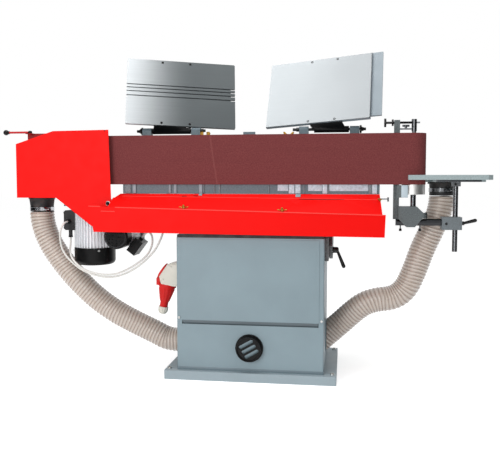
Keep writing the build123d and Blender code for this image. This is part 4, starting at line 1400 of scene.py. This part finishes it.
@dataclass
class TiltUnit(Assembly):
    """Tilt shaft, saddle, swinging quadrant, its clamp lever and the red skirt."""

    stud: Pair = (-91.8, 518.9)
    stud_ends: Pair = (296, 330)
    stud_radius: float = 5
    hub_x: float = 324.2
    hub: Profile = ((0, 0), (13, 0), (14, 1), (14, 3), (12.5, 4), (12.5, 18), (10, 23), (5, 25), (0, 25))
    lever_x: float = 342
    lever_reach: Triple = (27, -5.4, -65.7)
    lever_radii: Pair = (5.2, 7.6)
    lever_ball: float = 7.4
    crease_left: Triple = (-560, -231, 692)
    crease_right: Triple = (525, -231, 667)
    slope_top: Pair = (-138.3, 744.8)
    slots: tuple[Triple, ...] = ((-275, 97, 11), (-228, 99, 11), (281, 82, 89))
    slot_margin: float = 8
    slot_shade: Triple = (9, -6.5, -3.4)
    stops: tuple[tuple[Pair, Pair], ...] = (((-209, 111), (7, 14)), ((187, 113), (10, 17)))
    stop_height: Pair = (0.2, 3)
    crease_highlight_start: float = -541
    crease_radius: float = 1.9
    edge_highlights: tuple[tuple[Triple, Triple, float, float], ...] = (
        ((-652, -231, 695.8), (-603, -231, 694.8), 1.7, 0.3),
        ((-600, -231, 676), (-542, -231, 674.6), 1.5, 0.2))
    slope_highlight: tuple[Pair, Pair] = ((-536, 88), (500, 88))
    slope_radius: float = 1.0
    nut: WingNut = WingNut(6.5, 20, 7)
    nut_places: Pair = (-260, 131)
    nut_rise: float = 9
    nut_stud: Pair = (15, 3.6)
    small_nut: WingNut = WingNut(5, 9, 9)
    small_nut_at: Pair = (505, 84)
    tee: Pair = (-163, 727)
    tee_radii: Pair = (2.6, 3.2)
    tee_ends: Pair = (500, 537)
    tee_bar: Pair = (717, 734)

    def on_slope(self, x: float, rise: float) -> Spot:
        """Return a spot on the skirt's slope.

        Args:
            x: Its place along the machine.
            rise: Its distance up the slope from the crease.

        Returns:
            The spot, with Z pointing out of the slope and Y up it.
        """
        left, right = Vector(self.crease_left), Vector(self.crease_right)
        foot = left.lerp(right, (x - left.x) / (right.x - left.x))
        upward = (Vector((x, *self.slope_top)) - foot).normalized()
        return Spot(tuple(foot + upward * rise), tuple(Vector((1, 0, 0)).cross(upward)))

    def folds(self) -> None:
        """Build lighter red rods along the skirt's folds as painted highlights, dark slabs under its slots as
        painted shade, and two grey stops.
        """
        # Lighter red rods along the crease, two short edges and the slope: painted highlight on the rounded
        # folds.
        start = self.on_slope(self.crease_highlight_start, 0).at
        fold_highlights = Shape().rod(start, self.crease_right, self.crease_radius, edge=0.3)
        for start, end, radius, edge in self.edge_highlights:
            fold_highlights.rod(start, end, radius, edge=edge)
        start, end = (self.on_slope(*place).at for place in self.slope_highlight)
        fold_highlights.rod(start, end, self.slope_radius, edge=0.2)
        self.add(fold_highlights, "skirt_worn_edges", "worn_red", "carrier", "hood_red")
        # Dark slabs under the skirt's slots, so the slots look dark: painted shade.
        slot_shade = Shape()
        width, low, high = self.slot_shade
        for x, rise, half in self.slots:
            reach = half + self.slot_margin
            slot_shade.slab((-reach, -width, low), (reach, width, high), 0.4, self.on_slope(x, rise).matrix())
        self.add(slot_shade, "skirt_seal", "rubber_black", "carrier", "rubber_black")
        stops = Shape()
        low, high = self.stop_height
        for place, (half, drop) in self.stops:
            stops.slab((-half, -drop, low), (half, 0, high), 0.6, self.on_slope(*place).matrix())
        self.add(stops, "skirt_stops", "flange_paint", "carrier", "casting_paint")

    def lever(self) -> None:
        """Build the clamp lever of the tilt lock."""
        y, z = self.stud
        start = (self.lever_x, y, z)
        end = tuple(middle + reach for middle, reach in zip(start, self.lever_reach))
        lever = Shape().rod((self.stud_ends[0], y, z), (self.stud_ends[1], y, z), self.stud_radius)
        lever.turned(self.hub, Facing.RIGHT.spot((self.hub_x, y, z)))
        lever.rod(start, end, *self.lever_radii, 2.0).ball(end, self.lever_ball)
        self.add(lever, "tilt_clamp_lever", "knob_black", "tilt_lock", "knob_black", "tilt_lever")

    def build(self) -> None:
        """Dress the carrier and build the lever, the wing nuts and the small screw."""
        self.dress("steel", "tilt_shaft")
        self.dress("casting_paint", "saddle", edge=1.2)
        self.dress("dark_casting", "quadrant_swing", edge=1.2)
        self.dress("hood_red", "skirt", edge=0.6)
        self.lever()
        nuts = Shape()
        length, radius = self.nut_stud
        for x in self.nut_places:
            seat = self.on_slope(x, self.nut_rise)
            nuts.wing_nut(self.nut, seat)
            nuts.rod(seat.at, tuple(Vector(seat.at) + Vector(seat.up) * length), radius)
        nuts.wing_nut(self.small_nut, self.on_slope(*self.small_nut_at))
        self.add(nuts, "skirt_wing_nut_set", "brass", "carrier", "brass", "skirt_wing_nuts")
        y, z = self.tee
        left, right = self.tee_ends
        low, high = self.tee_bar
        stem, bar = self.tee_radii
        tee = Shape().rod((left, y, z), (right, y, z), stem).rod((right, y, low), (right, y, high), bar)
        self.add(tee, "skirt_tee_screw", "dark_chrome", "carrier", "steel")
        self.folds()


@dataclass
class Head(Assembly):
    """Bed, platen and belt, with the cast pads and pockets along the bed's lower edge; the pads' paler paint is
    painted highlight.
    """

    front: float = -133
    low: float = 747
    high: float = 784
    rib_depth: float = 4
    pad_depth: float = 5
    pocket_depth: float = 1.5
    pocket_floor: float = 757
    ribs: Profile = ((-531, -505), (-345, -334), (-324, -310), (-199, -195), (-156, -152), (-136, -130),
                     (67, 71), (208, 212), (304, 308), (464, 476))
    pads: Profile = ((-497, -483), (-342, -337), (-321, -313), (-217, -203))
    bright: Profile = ((149, 172), (175, 196), (283, 302), (477, 496))
    pockets: Profile = ((104, 146), (226, 281), (310, 462))

    def row(self, shape: Shape, spans: Profile, depth: float, low: float, edge: float) -> Shape:
        """Add a row of blocks to the bed's front.

        Args:
            shape: The shape that they are added to.
            spans: Where each begins and ends along the bed.
            depth: How far they stand out.
            low: Their lower edge.
            edge: The rounding of their edges.

        Returns:
            The shape.
        """
        for left, right in spans:
            shape.slab((left, self.front - depth, low), (right, self.front, self.high), edge)
        return shape

    def build(self) -> None:
        """Dress the head and build the bed's lower edge."""
        self.dress("bed_paint", "bed", "fence_blocks", edge=1.0)
        self.dress("steel", "platen", "eccentric")
        self.dress("abrasive_cloth", "belt")
        self.dress("chrome", "drive_drum")
        cast = self.row(Shape(), self.ribs, self.rib_depth, self.low, 1.2)
        self.add(cast, "bed_ribs", "casting_paint", "head", "casting_paint")
        # Raised pads on the ribs are modelled; their paler paint stands in for highlights: painted highlight.
        pale = self.row(Shape(), self.pads, self.pad_depth, self.low, 1.2)
        self.add(pale, "bed_pads", "flange_paint", "head", "casting_paint")
        bare = self.row(Shape(), self.bright, self.pad_depth, self.low, 1.2)
        self.row(bare, self.pockets, self.pocket_depth, self.pocket_floor, 0.6)
        self.add(bare, "bed_bare_faces", "bare_casting", "head", "casting_paint")


@dataclass
class Motors(Assembly):
    """Main motor and oscillation gear motor with their cowls and terminal boxes."""

    centre: Pair = (-687, -76.2)
    cowl_radius: float = 86
    cowl_screw: Screw = Screw(5, 3.5, Recess.CROSS)
    cowl_screw_z: float = 506
    cowl_screw_angles: tuple[float, ...] = (31, 121, 211, 301)
    lid: Box = ((-805, -127, 594), (-799.5, -33, 670))
    lid_screw: Screw = Screw(4, 2.2, Recess.CROSS)
    lid_screw_y: Pair = (-120, -40)
    lid_screw_z: Pair = (601, 663)
    stroke_centre: Pair = (-550, 569)
    rim: Profile = ((40.6, 0), (42, 0), (42, 0.8), (41.6, 1.2), (41, 1.2), (40.6, 0.8), (40.6, 0))
    rim_y: float = -204
    vents: tuple[tuple[float, int], ...] = ((14, 5), (26, 9), (37, 13))
    vent_y: Pair = (-200.4, -201.2)
    vent_radius: float = 1.3

    def stroke_cowl(self) -> Shape:
        """Build the rim of the oscillation motor's cowl and its rings of vents.

        Returns:
            The rim with the vents.
        """
        x, z = self.stroke_centre
        rim = Shape().turned(self.rim, Facing.FRONT.spot((x, self.rim_y, z)), 64)
        inner, outer = self.vent_y
        for ring, count in self.vents:
            for vent in range(count):
                turn = vent / count * math.tau
                vent_x, vent_z = x + ring * math.cos(turn), z + ring * math.sin(turn)
                rim.rod((vent_x, inner, vent_z), (vent_x, outer, vent_z), self.vent_radius, edge=0.2)
        return rim

    def build(self) -> None:
        """Dress the motors and build their covers and screws."""
        self.dress("motor_alloy", "motor_body", "osc_motor")
        self.dress("black_plastic", "motor_cowl", "osc_cowl", "osc_box")
        self.dress("box_black", "motor_box", edge=1.2)
        screws = Shape()
        for angle in self.cowl_screw_angles:
            turn = math.radians(angle)
            out = (math.sin(turn), -math.cos(turn), 0)
            x, y = (middle + share * self.cowl_radius for middle, share in zip(self.centre, out))
            screws.screw(self.cowl_screw, Spot((x, y, self.cowl_screw_z), out, (0, 0, 1)))
        self.add(screws, "cowl_screws", "zinc", "head", "chrome")
        lid = Shape().slab(*self.lid, 2.2)
        for y, z in product(self.lid_screw_y, self.lid_screw_z):
            lid.screw(self.lid_screw, Facing.LEFT.spot((self.lid[0][0], y, z)))
        self.add(lid, "motor_box_lid", "box_black", "head", "black_plastic")
        self.add(self.stroke_cowl(), "stroke_cowl_rim", "dark_paint", "head", "dark_paint")


@dataclass
class Hood(Assembly):
    """Red hood over the drive drum, its screw, latch lever, outlet collar and clamp band."""

    screw: Triple = (-593, -168, 705)
    screw_head: Screw = Screw(7, 3.2, Recess.HEX)
    screw_end: float = -150
    screw_radius: float = 4.8
    washer: Profile = ((5, 0), (10, 0), (10, 1.6), (9.4, 2), (5, 2), (5, 0))
    washer_depth: float = 2
    pivot: Triple = (-1009, -2, 1011.5)
    pin: Triple = (1001, 1008, 3.9)
    cap_foot: float = 1007.3
    cap: Profile = ((0, 0), (9, 0), (9, 6), (8, 9), (5.5, 11.2), (0, 12))
    arm_radius: float = 4.6
    arm_end: float = 6
    knob: Triple = (-1122, -2, 1011.5)
    knob_radius: float = 12
    neck: Profile = ((4, 0), (6.5, 0), (7.5, 6), (4, 6), (4, 0))
    neck_start: float = 16
    outlet: Triple = (-934, -55, 0)
    outlet_band: HoseBand = HoseBand(50.2, 670, 685, -52)

    def latch(self) -> None:
        """Build the latch lever: its arm, pin, cap, knob and the knob's neck."""
        x, y = self.pivot[:2]
        end_x, end_y, end_z = self.knob
        low, high, radius = self.pin
        arm = Shape().rod(self.pivot, (end_x + self.arm_end, end_y, end_z), self.arm_radius)
        arm.rod((x, y, low), (x, y, high), radius)
        self.add(arm, "latch_rod", "lever_red", "latch", "hood_red", "hood_lever")
        grip = Shape().ball(self.knob, self.knob_radius)
        grip.turned(self.cap, Spot((x, y, self.cap_foot)))
        grip.turned(self.neck, Facing.LEFT.spot((end_x + self.neck_start, end_y, end_z)))
        self.add(grip, "latch_knob", "knob_black", "latch", "knob_black")

    def build(self) -> None:
        """Dress the hood and build its fittings."""
        self.dress("hood_red", "hood", edge=0.7)
        # The hood's back plate takes the darker red: painted shade.
        self.dress("back_red", "hood_back", edge=0.7)
        self.dress("rubber_black", "hood_outlet", edge=0.8)
        x, y, z = self.screw
        washer = Shape().turned(self.washer, Facing.FRONT.spot(self.screw))
        self.add(washer, "hood_washer", "zinc", "head", "steel")
        bolt = Shape().screw(self.screw_head, Facing.FRONT.spot((x, y - self.washer_depth, z)))
        bolt.rod(self.screw, (x, self.screw_end, z), self.screw_radius)
        self.add(bolt, "hood_screw", "knob_black", "head", "steel", "hood_bolt")
        self.latch()
        clamp = Shape().band(self.outlet_band, Spot(self.outlet))
        self.add(clamp, "outlet_band", "chrome", "head", "chrome", "outlet_clamp")


@dataclass(frozen=True)
class Plate:
    """A fence's plate: its foot, its lean, roll and turn in degrees, its size and its screws."""

    at: Triple
    turns: Triple
    size: Pair
    screw_columns: Pair
    screw_seat: float

    def frame(self) -> Matrix:
        """Work out the plate's own frame.

        Returns:
            The frame in millimetres.
        """
        lean, roll, turn = (math.radians(angle) for angle in self.turns)
        spin = Matrix.Rotation(roll, 4, "Y") @ Matrix.Rotation(lean, 4, "X") @ Matrix.Rotation(turn, 4, "Z")
        return Matrix.Translation(Vector(self.at)) @ spin


@dataclass(frozen=True)
class ClampRod:
    """A fence's clamp rod: its names, its ends, its knob's and nut's places and the side it faces."""

    name: str
    node: str
    body: str
    ends: Pair
    knob: float
    nut: float
    side: int


@dataclass
class Fences(Assembly):
    """The two tilting fences: plates, brackets, clamp rods and knobs."""

    left: Plate = Plate((-299, -104, 1022.6), (-19.1, -3.8, 18.1), (452, 295), (-80, 36), 3.0)
    right: Plate = Plate((256.5, -104, 1028.7), (-26.3, 2.2, -13.1), (428, 306), (-36, 72), 1.2)
    plate_screw: Screw = Screw(5.4, 3.6, Recess.HEX)
    screw_inset: float = 10
    left_light_to_shade_centre: float = -162
    grooves: tuple[float, ...] = (128, 147.5, 164, 178.5)
    groove_half: float = 2.2
    groove_depth: Pair = (4.2, 4.9)
    groove_end: float = 206
    face_thickness: float = 1.4
    face_corner: Profile = ((7, 1.6), (3.4, 3), (2.2, 7))
    face_left: float = 0.5
    face_top: float = 0.8
    gap_shade_depth: Pair = (-0.7, 0.1)
    pivot: Pair = (-85, 1004)
    clamps: tuple[ClampRod, ...] = (
        ClampRod("left_clamp", "left_knob", "left_lock", (-492, -200), -467, -219.5, -1),
        ClampRod("right_clamp", "right_knob", "right_lock", (160, 452), 427, 185.5, 1))
    rod_radius: float = 5.8
    rod_knob: Knob = Knob(5, 13.5, 3.2, 8, 2.0)
    rod_cap: Profile = ((0, 0), (9, 0), (8, 6), (6, 10), (0, 10))
    rod_cap_start: float = 7
    rod_nut: Knob = Knob(6, 8.4, 0.5, 11, 0.8)
    nut: WingNut = WingNut(7, 22, 23)
    nut_places: Pair = (-197, 145)
    nut_seat: Pair = (-106, 972)
    nut_thread: Triple = (12, 3, 1.5)
    lobes: tuple[Pair, ...] = ((-21, -7), (5, 19))
    lobe_half: float = 2
    lobe_z: Pair = (978, 998)

    def finishes(self) -> None:
        """Make the plates' two brushed finishes, along their own grain, each with painted reflection fading to
        painted shade across the plate.
        """
        left, right = self.left.frame(), self.right.frame()
        # The left plate fades from bright to dark and the right plate more gently: painted reflection and
        # shade.
        self.palette.add(Brushed("left_alloy", tint(238, 243, 246), gloss=0.5, metal=0.3,
                                 turn=tuple(left.to_euler("XYZ")), contrast=0.07, far=tint(84, 90, 92),
                                 half=0.24, ramp=Ramp.SOFT,
                                 centre=tuple(left @ Vector((self.left_light_to_shade_centre, 0, 0)) * MM)))
        self.palette.add(Brushed("right_stainless", tint(202, 208, 211), gloss=0.55, metal=0.12,
                                 turn=tuple(right.to_euler("XYZ")), contrast=0.025, far=tint(172, 177, 180),
                                 centre=tuple(right.translation * MM)))

    def plate_screws(self, plate: Plate, name: str, body: str) -> None:
        """Build the four screws of a plate.

        Args:
            plate: The plate.
            name: The piece's name.
            body: The body that it moves with.
        """
        frame = plate.frame()
        out, up = (tuple(frame.to_3x3() @ Vector(side)) for side in ((0, -1, 0), (0, 0, 1)))
        screws = Shape()
        for x, z in product(plate.screw_columns, (self.screw_inset, plate.size[1] - self.screw_inset)):
            seat = tuple(frame @ Vector((x, plate.screw_seat, z)))
            screws.screw(self.plate_screw, Spot(seat, out, up))
        self.add(screws, name, "knob_black", body, "knob_black")

    def left_face(self) -> None:
        """Paint shade into the grooves of the left plate with dark strips at their floors."""
        shade = Shape()
        near, deep = self.groove_depth
        for z in self.grooves:
            shade.slab((1 - self.left.size[0] / 2, near, z - self.groove_half),
                       (self.groove_end, deep, z + self.groove_half), 0.2, self.left.frame())
        self.add(shade, "left_plate_grooves", "dark_paint", "left_fence", "dark_paint")

    def right_face(self) -> None:
        """Build the stainless face of the right plate and dark strips along two of its edges, painted shadow of
        the gap behind it.
        """
        frame = self.right.frame()
        half, height = self.right.size[0] / 2, self.right.size[1]
        left = self.face_left - half
        corner = [(half - inset, rise) for inset, rise in self.face_corner]
        upper = [(x, height - rise) for x, rise in reversed(corner)]
        outline = ((left, corner[0][1]), *corner, *upper, (left, height - self.face_top))
        face = Shape().prism(outline, self.face_thickness, frame @ Matrix.Rotation(math.pi / 2, 4, "X"))
        self.add(face, "right_plate_face", "right_stainless", "right_fence", "stainless")
        # Dark strips along the right and lower edges: painted shadow of the gap behind the face.
        near, deep = self.gap_shade_depth
        trim = Shape().slab((half - 3, near, 0.3), (half - 0.2, deep, height - 0.6), 0.2, frame)
        trim.slab((-half + 0.3, near, 0.2), (half - 0.2, deep, 3), 0.2, frame)
        self.add(trim, "right_plate_trim", "dark_paint", "right_fence", "dark_paint")

    def clamp_rod(self, clamp: ClampRod) -> None:
        """Build a clamp rod with its star knob and the nut at its inner end.

        Args:
            clamp: The clamp rod.
        """
        outward, inward = (Facing.RIGHT, Facing.LEFT) if clamp.side > 0 else (Facing.LEFT, Facing.RIGHT)
        start, end = ((x, *self.pivot) for x in clamp.ends)
        rod = Shape().rod(start, end, self.rod_radius)
        rod.star(self.rod_knob, outward.spot((clamp.knob, *self.pivot)))
        rod.turned(self.rod_cap, outward.spot((clamp.knob + clamp.side * self.rod_cap_start, *self.pivot)))
        rod.star(self.rod_nut, inward.spot((clamp.nut, *self.pivot)))
        self.add(rod, clamp.name, "knob_black", clamp.body, "knob_black", clamp.node)

    def wing_nuts(self) -> None:
        """Build the brass wing nuts behind the belt, with two more lobes on the left one."""
        nuts = Shape()
        y, z = self.nut_seat
        rise, radius, pitch = self.nut_thread
        for x in self.nut_places:
            nuts.wing_nut(self.nut, Spot((x, y, z)))
            nuts.thread((x, y, z), (x, y, z + rise), radius, pitch)
        low, high = self.lobe_z
        for inner, outer in self.lobes:
            left, right = (self.nut_places[0] + reach for reach in (inner, outer))
            nuts.slab((left, y - self.lobe_half, low), (right, y + self.lobe_half, high), 1.6)
        self.add(nuts, "fence_wing_nut_set", "brass", "head", "brass", "fence_wing_nuts")

    def build(self) -> None:
        """Dress the plates and build the fittings."""
        self.finishes()
        self.dress("left_alloy", "left_plate")
        self.dress("flange_paint", "right_plate", edge=0.6)
        self.dress("black_plastic", "left_bracket", "right_bracket", edge=1.2)
        self.plate_screws(self.left, "left_plate_screws", "left_fence")
        self.plate_screws(self.right, "right_plate_screws", "right_fence")
        self.right_face()
        self.left_face()
        for clamp in self.clamps:
            self.clamp_rod(clamp)
        self.wing_nuts()


@dataclass
class IdlerEnd(Assembly):
    """Idler yoke, drum, shaft and the tracking screw."""

    axis: Pair = (-96.2, 1026)
    shank: Pair = (529, 560)
    shank_radius: float = 4.6
    thread: Pair = (558, 636)
    thread_radius: float = 4.9
    thread_pitch: float = 1.75
    wheel: Knob = Knob(20, 16.4, 0.6, 8)
    wheel_x: float = 522
    lock_nut: Knob = Knob(6, 12, 2.4, 7, 1.5)
    lock_nut_x: float = 551.5
    plate: Box = ((588.5, -140.4, 732.4), (613.6, -139.4, 780.6))
    wing: Box = ((594, -99.2, 1009.4), (620, -93.2, 1017.6))
    thumb: Knob = Knob(14, 5, 0.4, 10, 0.8)
    thumbs_at: tuple[Triple, ...] = ((592, -75, 597), (668, -75, 597))
    bar_knob: Knob = Knob(5, 11, 2, 9, 2)
    bar_knob_at: Triple = (684, -102, 661)

    def build(self) -> None:
        """Dress the idler end and build the tracking screw and the small fittings."""
        self.dress("yoke_paint", "idler_yoke", edge=1.0)
        self.dress("dark_chrome", "idler_shaft")
        self.dress("drum_steel", "idler_drum")
        start, end = ((x, *self.axis) for x in self.shank)
        screw = Shape().rod(start, end, self.shank_radius)
        start, end = ((x, *self.axis) for x in self.thread)
        screw.thread(start, end, self.thread_radius, self.thread_pitch)
        screw.star(self.wheel, Facing.RIGHT.spot((self.wheel_x, *self.axis)))
        screw.star(self.lock_nut, Facing.RIGHT.spot((self.lock_nut_x, *self.axis)))
        self.add(screw, "tracking_knob", "knob_black", "tracking", "knob_black", "tracking_screw")
        plate = Shape().slab(*self.plate, 0.3)
        self.add(plate, "yoke_plate_face", "pale_plate", "tension_slide", "casting_paint")
        wing = Shape().slab(*self.wing, 1.0)
        self.add(wing, "shaft_wing", "dark_paint", "tension_slide", "dark_paint")
        thumbs = Shape()
        for place in self.thumbs_at:
            thumbs.star(self.thumb, Spot(place))
        self.add(thumbs, "bar_thumb_screws", "knob_black", "tension_slide", "knob_black")
        grip = Shape().star(self.bar_knob, Facing.RIGHT.spot(self.bar_knob_at))
        self.add(grip, "bar_lock_knob", "knob_black", "tension_slide", "knob_black")


@dataclass
class EndTable(Assembly):
    """Table round the idler end, its post, bar, clamp block, lever and dust port."""

    lever_start: Triple = (832, -92, 631)
    lever_end: Triple = (874, -109, 643.5)
    lever_radii: Pair = (5.4, 7.2)
    lever_ball: float = 7.0
    hub_at: Triple = (823.4, -92, 631)
    hub: Profile = ((0, 0), (7, 0), (8, 2), (8, 11), (6, 13), (0, 13))
    port: Triple = (763, 20, 0)
    port_band: HoseBand = HoseBand(50.3, 753, 768, -70)
    head_screw: Screw = Screw(5, 5, Recess.HEX)
    head_screw_at: Triple = (797, -110, 784)
    block_screw: Screw = Screw(6, 2, Recess.HEX)
    block_screw_at: Triple = (764, -120, 630)
    stiffener_shade: Box = ((717, -167, 793.2), (884, -166, 800.8))

    def build(self) -> None:
        """Dress the table and build its fittings."""
        self.dress("table_paint", "end_table", edge=1.0)
        self.dress("dark_chrome", "table_post")
        self.dress("bar_steel", "table_bar")
        self.dress("block_paint", "table_block", edge=1.5)
        self.dress("rubber_black", "table_port", edge=0.8)
        lever = Shape().turned(self.hub, Facing.RIGHT.spot(self.hub_at))
        lever.rod(self.lever_start, self.lever_end, *self.lever_radii, 1.6)
        lever.ball(self.lever_end, self.lever_ball)
        self.add(lever, "table_clamp_lever", "knob_black", "table_lock", "knob_black", "table_lever")
        clamp = Shape().band(self.port_band, Spot(self.port))
        self.add(clamp, "port_band", "dark_chrome", "table", "chrome")
        head = Shape().screw(self.head_screw, Facing.FRONT.spot(self.head_screw_at))
        self.add(head, "post_head_screw", "knob_black", "table", "knob_black")
        plug = Shape().screw(self.block_screw, Facing.FRONT.spot(self.block_screw_at))
        self.add(plug, "block_screw", "knob_black", "table_arm", "knob_black")
        # A dark slab on the table stiffener's front face: painted shade under the table.
        edge = Shape().slab(*self.stiffener_shade, 0.2)
        self.add(edge, "stiffener_face", "dark_paint", "table", "dark_paint")


@dataclass(frozen=True)
class Lamp:
    """A soft rectangular lamp: its place and size in metres and its power in watts."""

    name: str
    at: Triple
    size: Pair
    power: float


@dataclass
class Studio:
    """Pale floor, soft light and the camera."""

    camera_at: Triple = (371.8, -2772, 793)
    camera_turn: Triple = (86.27, 0, 8.19)
    lens: float = 47.52
    sensor: float = 36
    floor_half: float = 30.0
    floor_lift: float = 0.6
    sky: float = 0.44
    cards: tuple[tuple[Pair, Pair], ...] = (((-0.55, -2.95), (-3.4, 0.9)), ((1.3, -2.95), (3.6, 0.9)))
    card_height: float = 2.2
    lamp_aim: Triple = (-0.1, 0, 0.7)
    lamps: tuple[Lamp, ...] = (Lamp("key", (-2.0, -4.6, 1.5), (2.4, 2.4), 104),
                               Lamp("top", (-0.2, -0.8, 3.8), (2.4, 1.6), 50))

    def floor(self) -> None:
        """Build a wide pale floor that shows the object's shadow."""
        mesh = bmesh.new()
        bmesh.ops.create_grid(mesh, x_segments=1, y_segments=1, size=self.floor_half)
        tree = Tree("floor_white")
        tree.surface(Base_Color=(0.9, 0.9, 0.9, 1), Roughness=0.9, Specular_IOR_Level=0.0,
                     Emission_Color=(1, 1, 1, 1),
                     Emission_Strength=tree.compute("MULTIPLY", tree.in_view(), self.floor_lift))
        meshed("floor", mesh, tree.material)

    def dark_cards(self) -> None:
        """Stand dark cards beside the camera that only shiny metal mirrors."""
        tree = Tree("card_black")
        tree.surface(Base_Color=(0.015, 0.015, 0.016, 1), Roughness=1.0, Specular_IOR_Level=0.0)
        for index, (near, far) in enumerate(self.cards):
            mesh = bmesh.new()
            corners = ((*near, 0), (*far, 0), (*far, self.card_height), (*near, self.card_height))
            mesh.faces.new([mesh.verts.new(corner) for corner in corners])
            item = meshed(f"card_{index}", mesh, tree.material)
            item.visible_camera = False
            item.visible_diffuse = False
            item.visible_transmission = False
            item.visible_shadow = False

    def world(self) -> None:
        """Light evenly from all round, with white behind the object."""
        world = bpy.data.worlds.new("studio")
        world.use_nodes = True
        bpy.context.scene.world = world
        graph = Graph(world.node_tree)
        back = graph.nodes["Background"].inputs
        graph.feed(back["Color"], (1, 1, 1, 1))
        graph.feed(back["Strength"], graph.spread(graph.in_view(), (0, self.sky), (1, 1)))

    def light(self, lamp: Lamp) -> None:
        """Hang a lamp that faces the object.

        Args:
            lamp: The lamp.
        """
        data = bpy.data.lights.new(lamp.name, "AREA")
        data.shape = "RECTANGLE"
        data.size, data.size_y = lamp.size
        data.energy = lamp.power
        item = placed(lamp.name, data)
        item.location = lamp.at
        item.rotation_euler = (Vector(self.lamp_aim) - Vector(lamp.at)).to_track_quat("-Z", "Y").to_euler()

    def camera(self) -> None:
        """Set up the camera at the viewing angle."""
        data = bpy.data.cameras.new("camera")
        data.sensor_width = self.sensor
        data.lens = self.lens
        item = placed("camera", data)
        item.location = Vector(self.camera_at) * MM
        item.rotation_euler = Euler([math.radians(angle) for angle in self.camera_turn])
        bpy.context.scene.camera = item

    def build(self) -> None:
        """Build the studio."""
        bpy.context.scene.view_settings.view_transform = "Standard"
        self.floor()
        self.dark_cards()
        self.world()
        self.camera()
        for lamp in self.lamps:
            self.light(lamp)


def main() -> None:
    """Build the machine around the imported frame."""
    logging.basicConfig(level=logging.INFO, format="%(message)s")
    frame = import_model()
    palette = Palette()
    Studio().build()
    LEFT_HOSE.build(palette, "hose_left")
    RIGHT_HOSE.build(palette, "hose_right")
    for kind in (Cables, Stand, MainsInlet, TiltUnit, Head, Motors, Hood, Fences, IdlerEnd, EndTable):
        kind(frame["nodes"], palette).build()


if __name__ == "__main__":
    main()
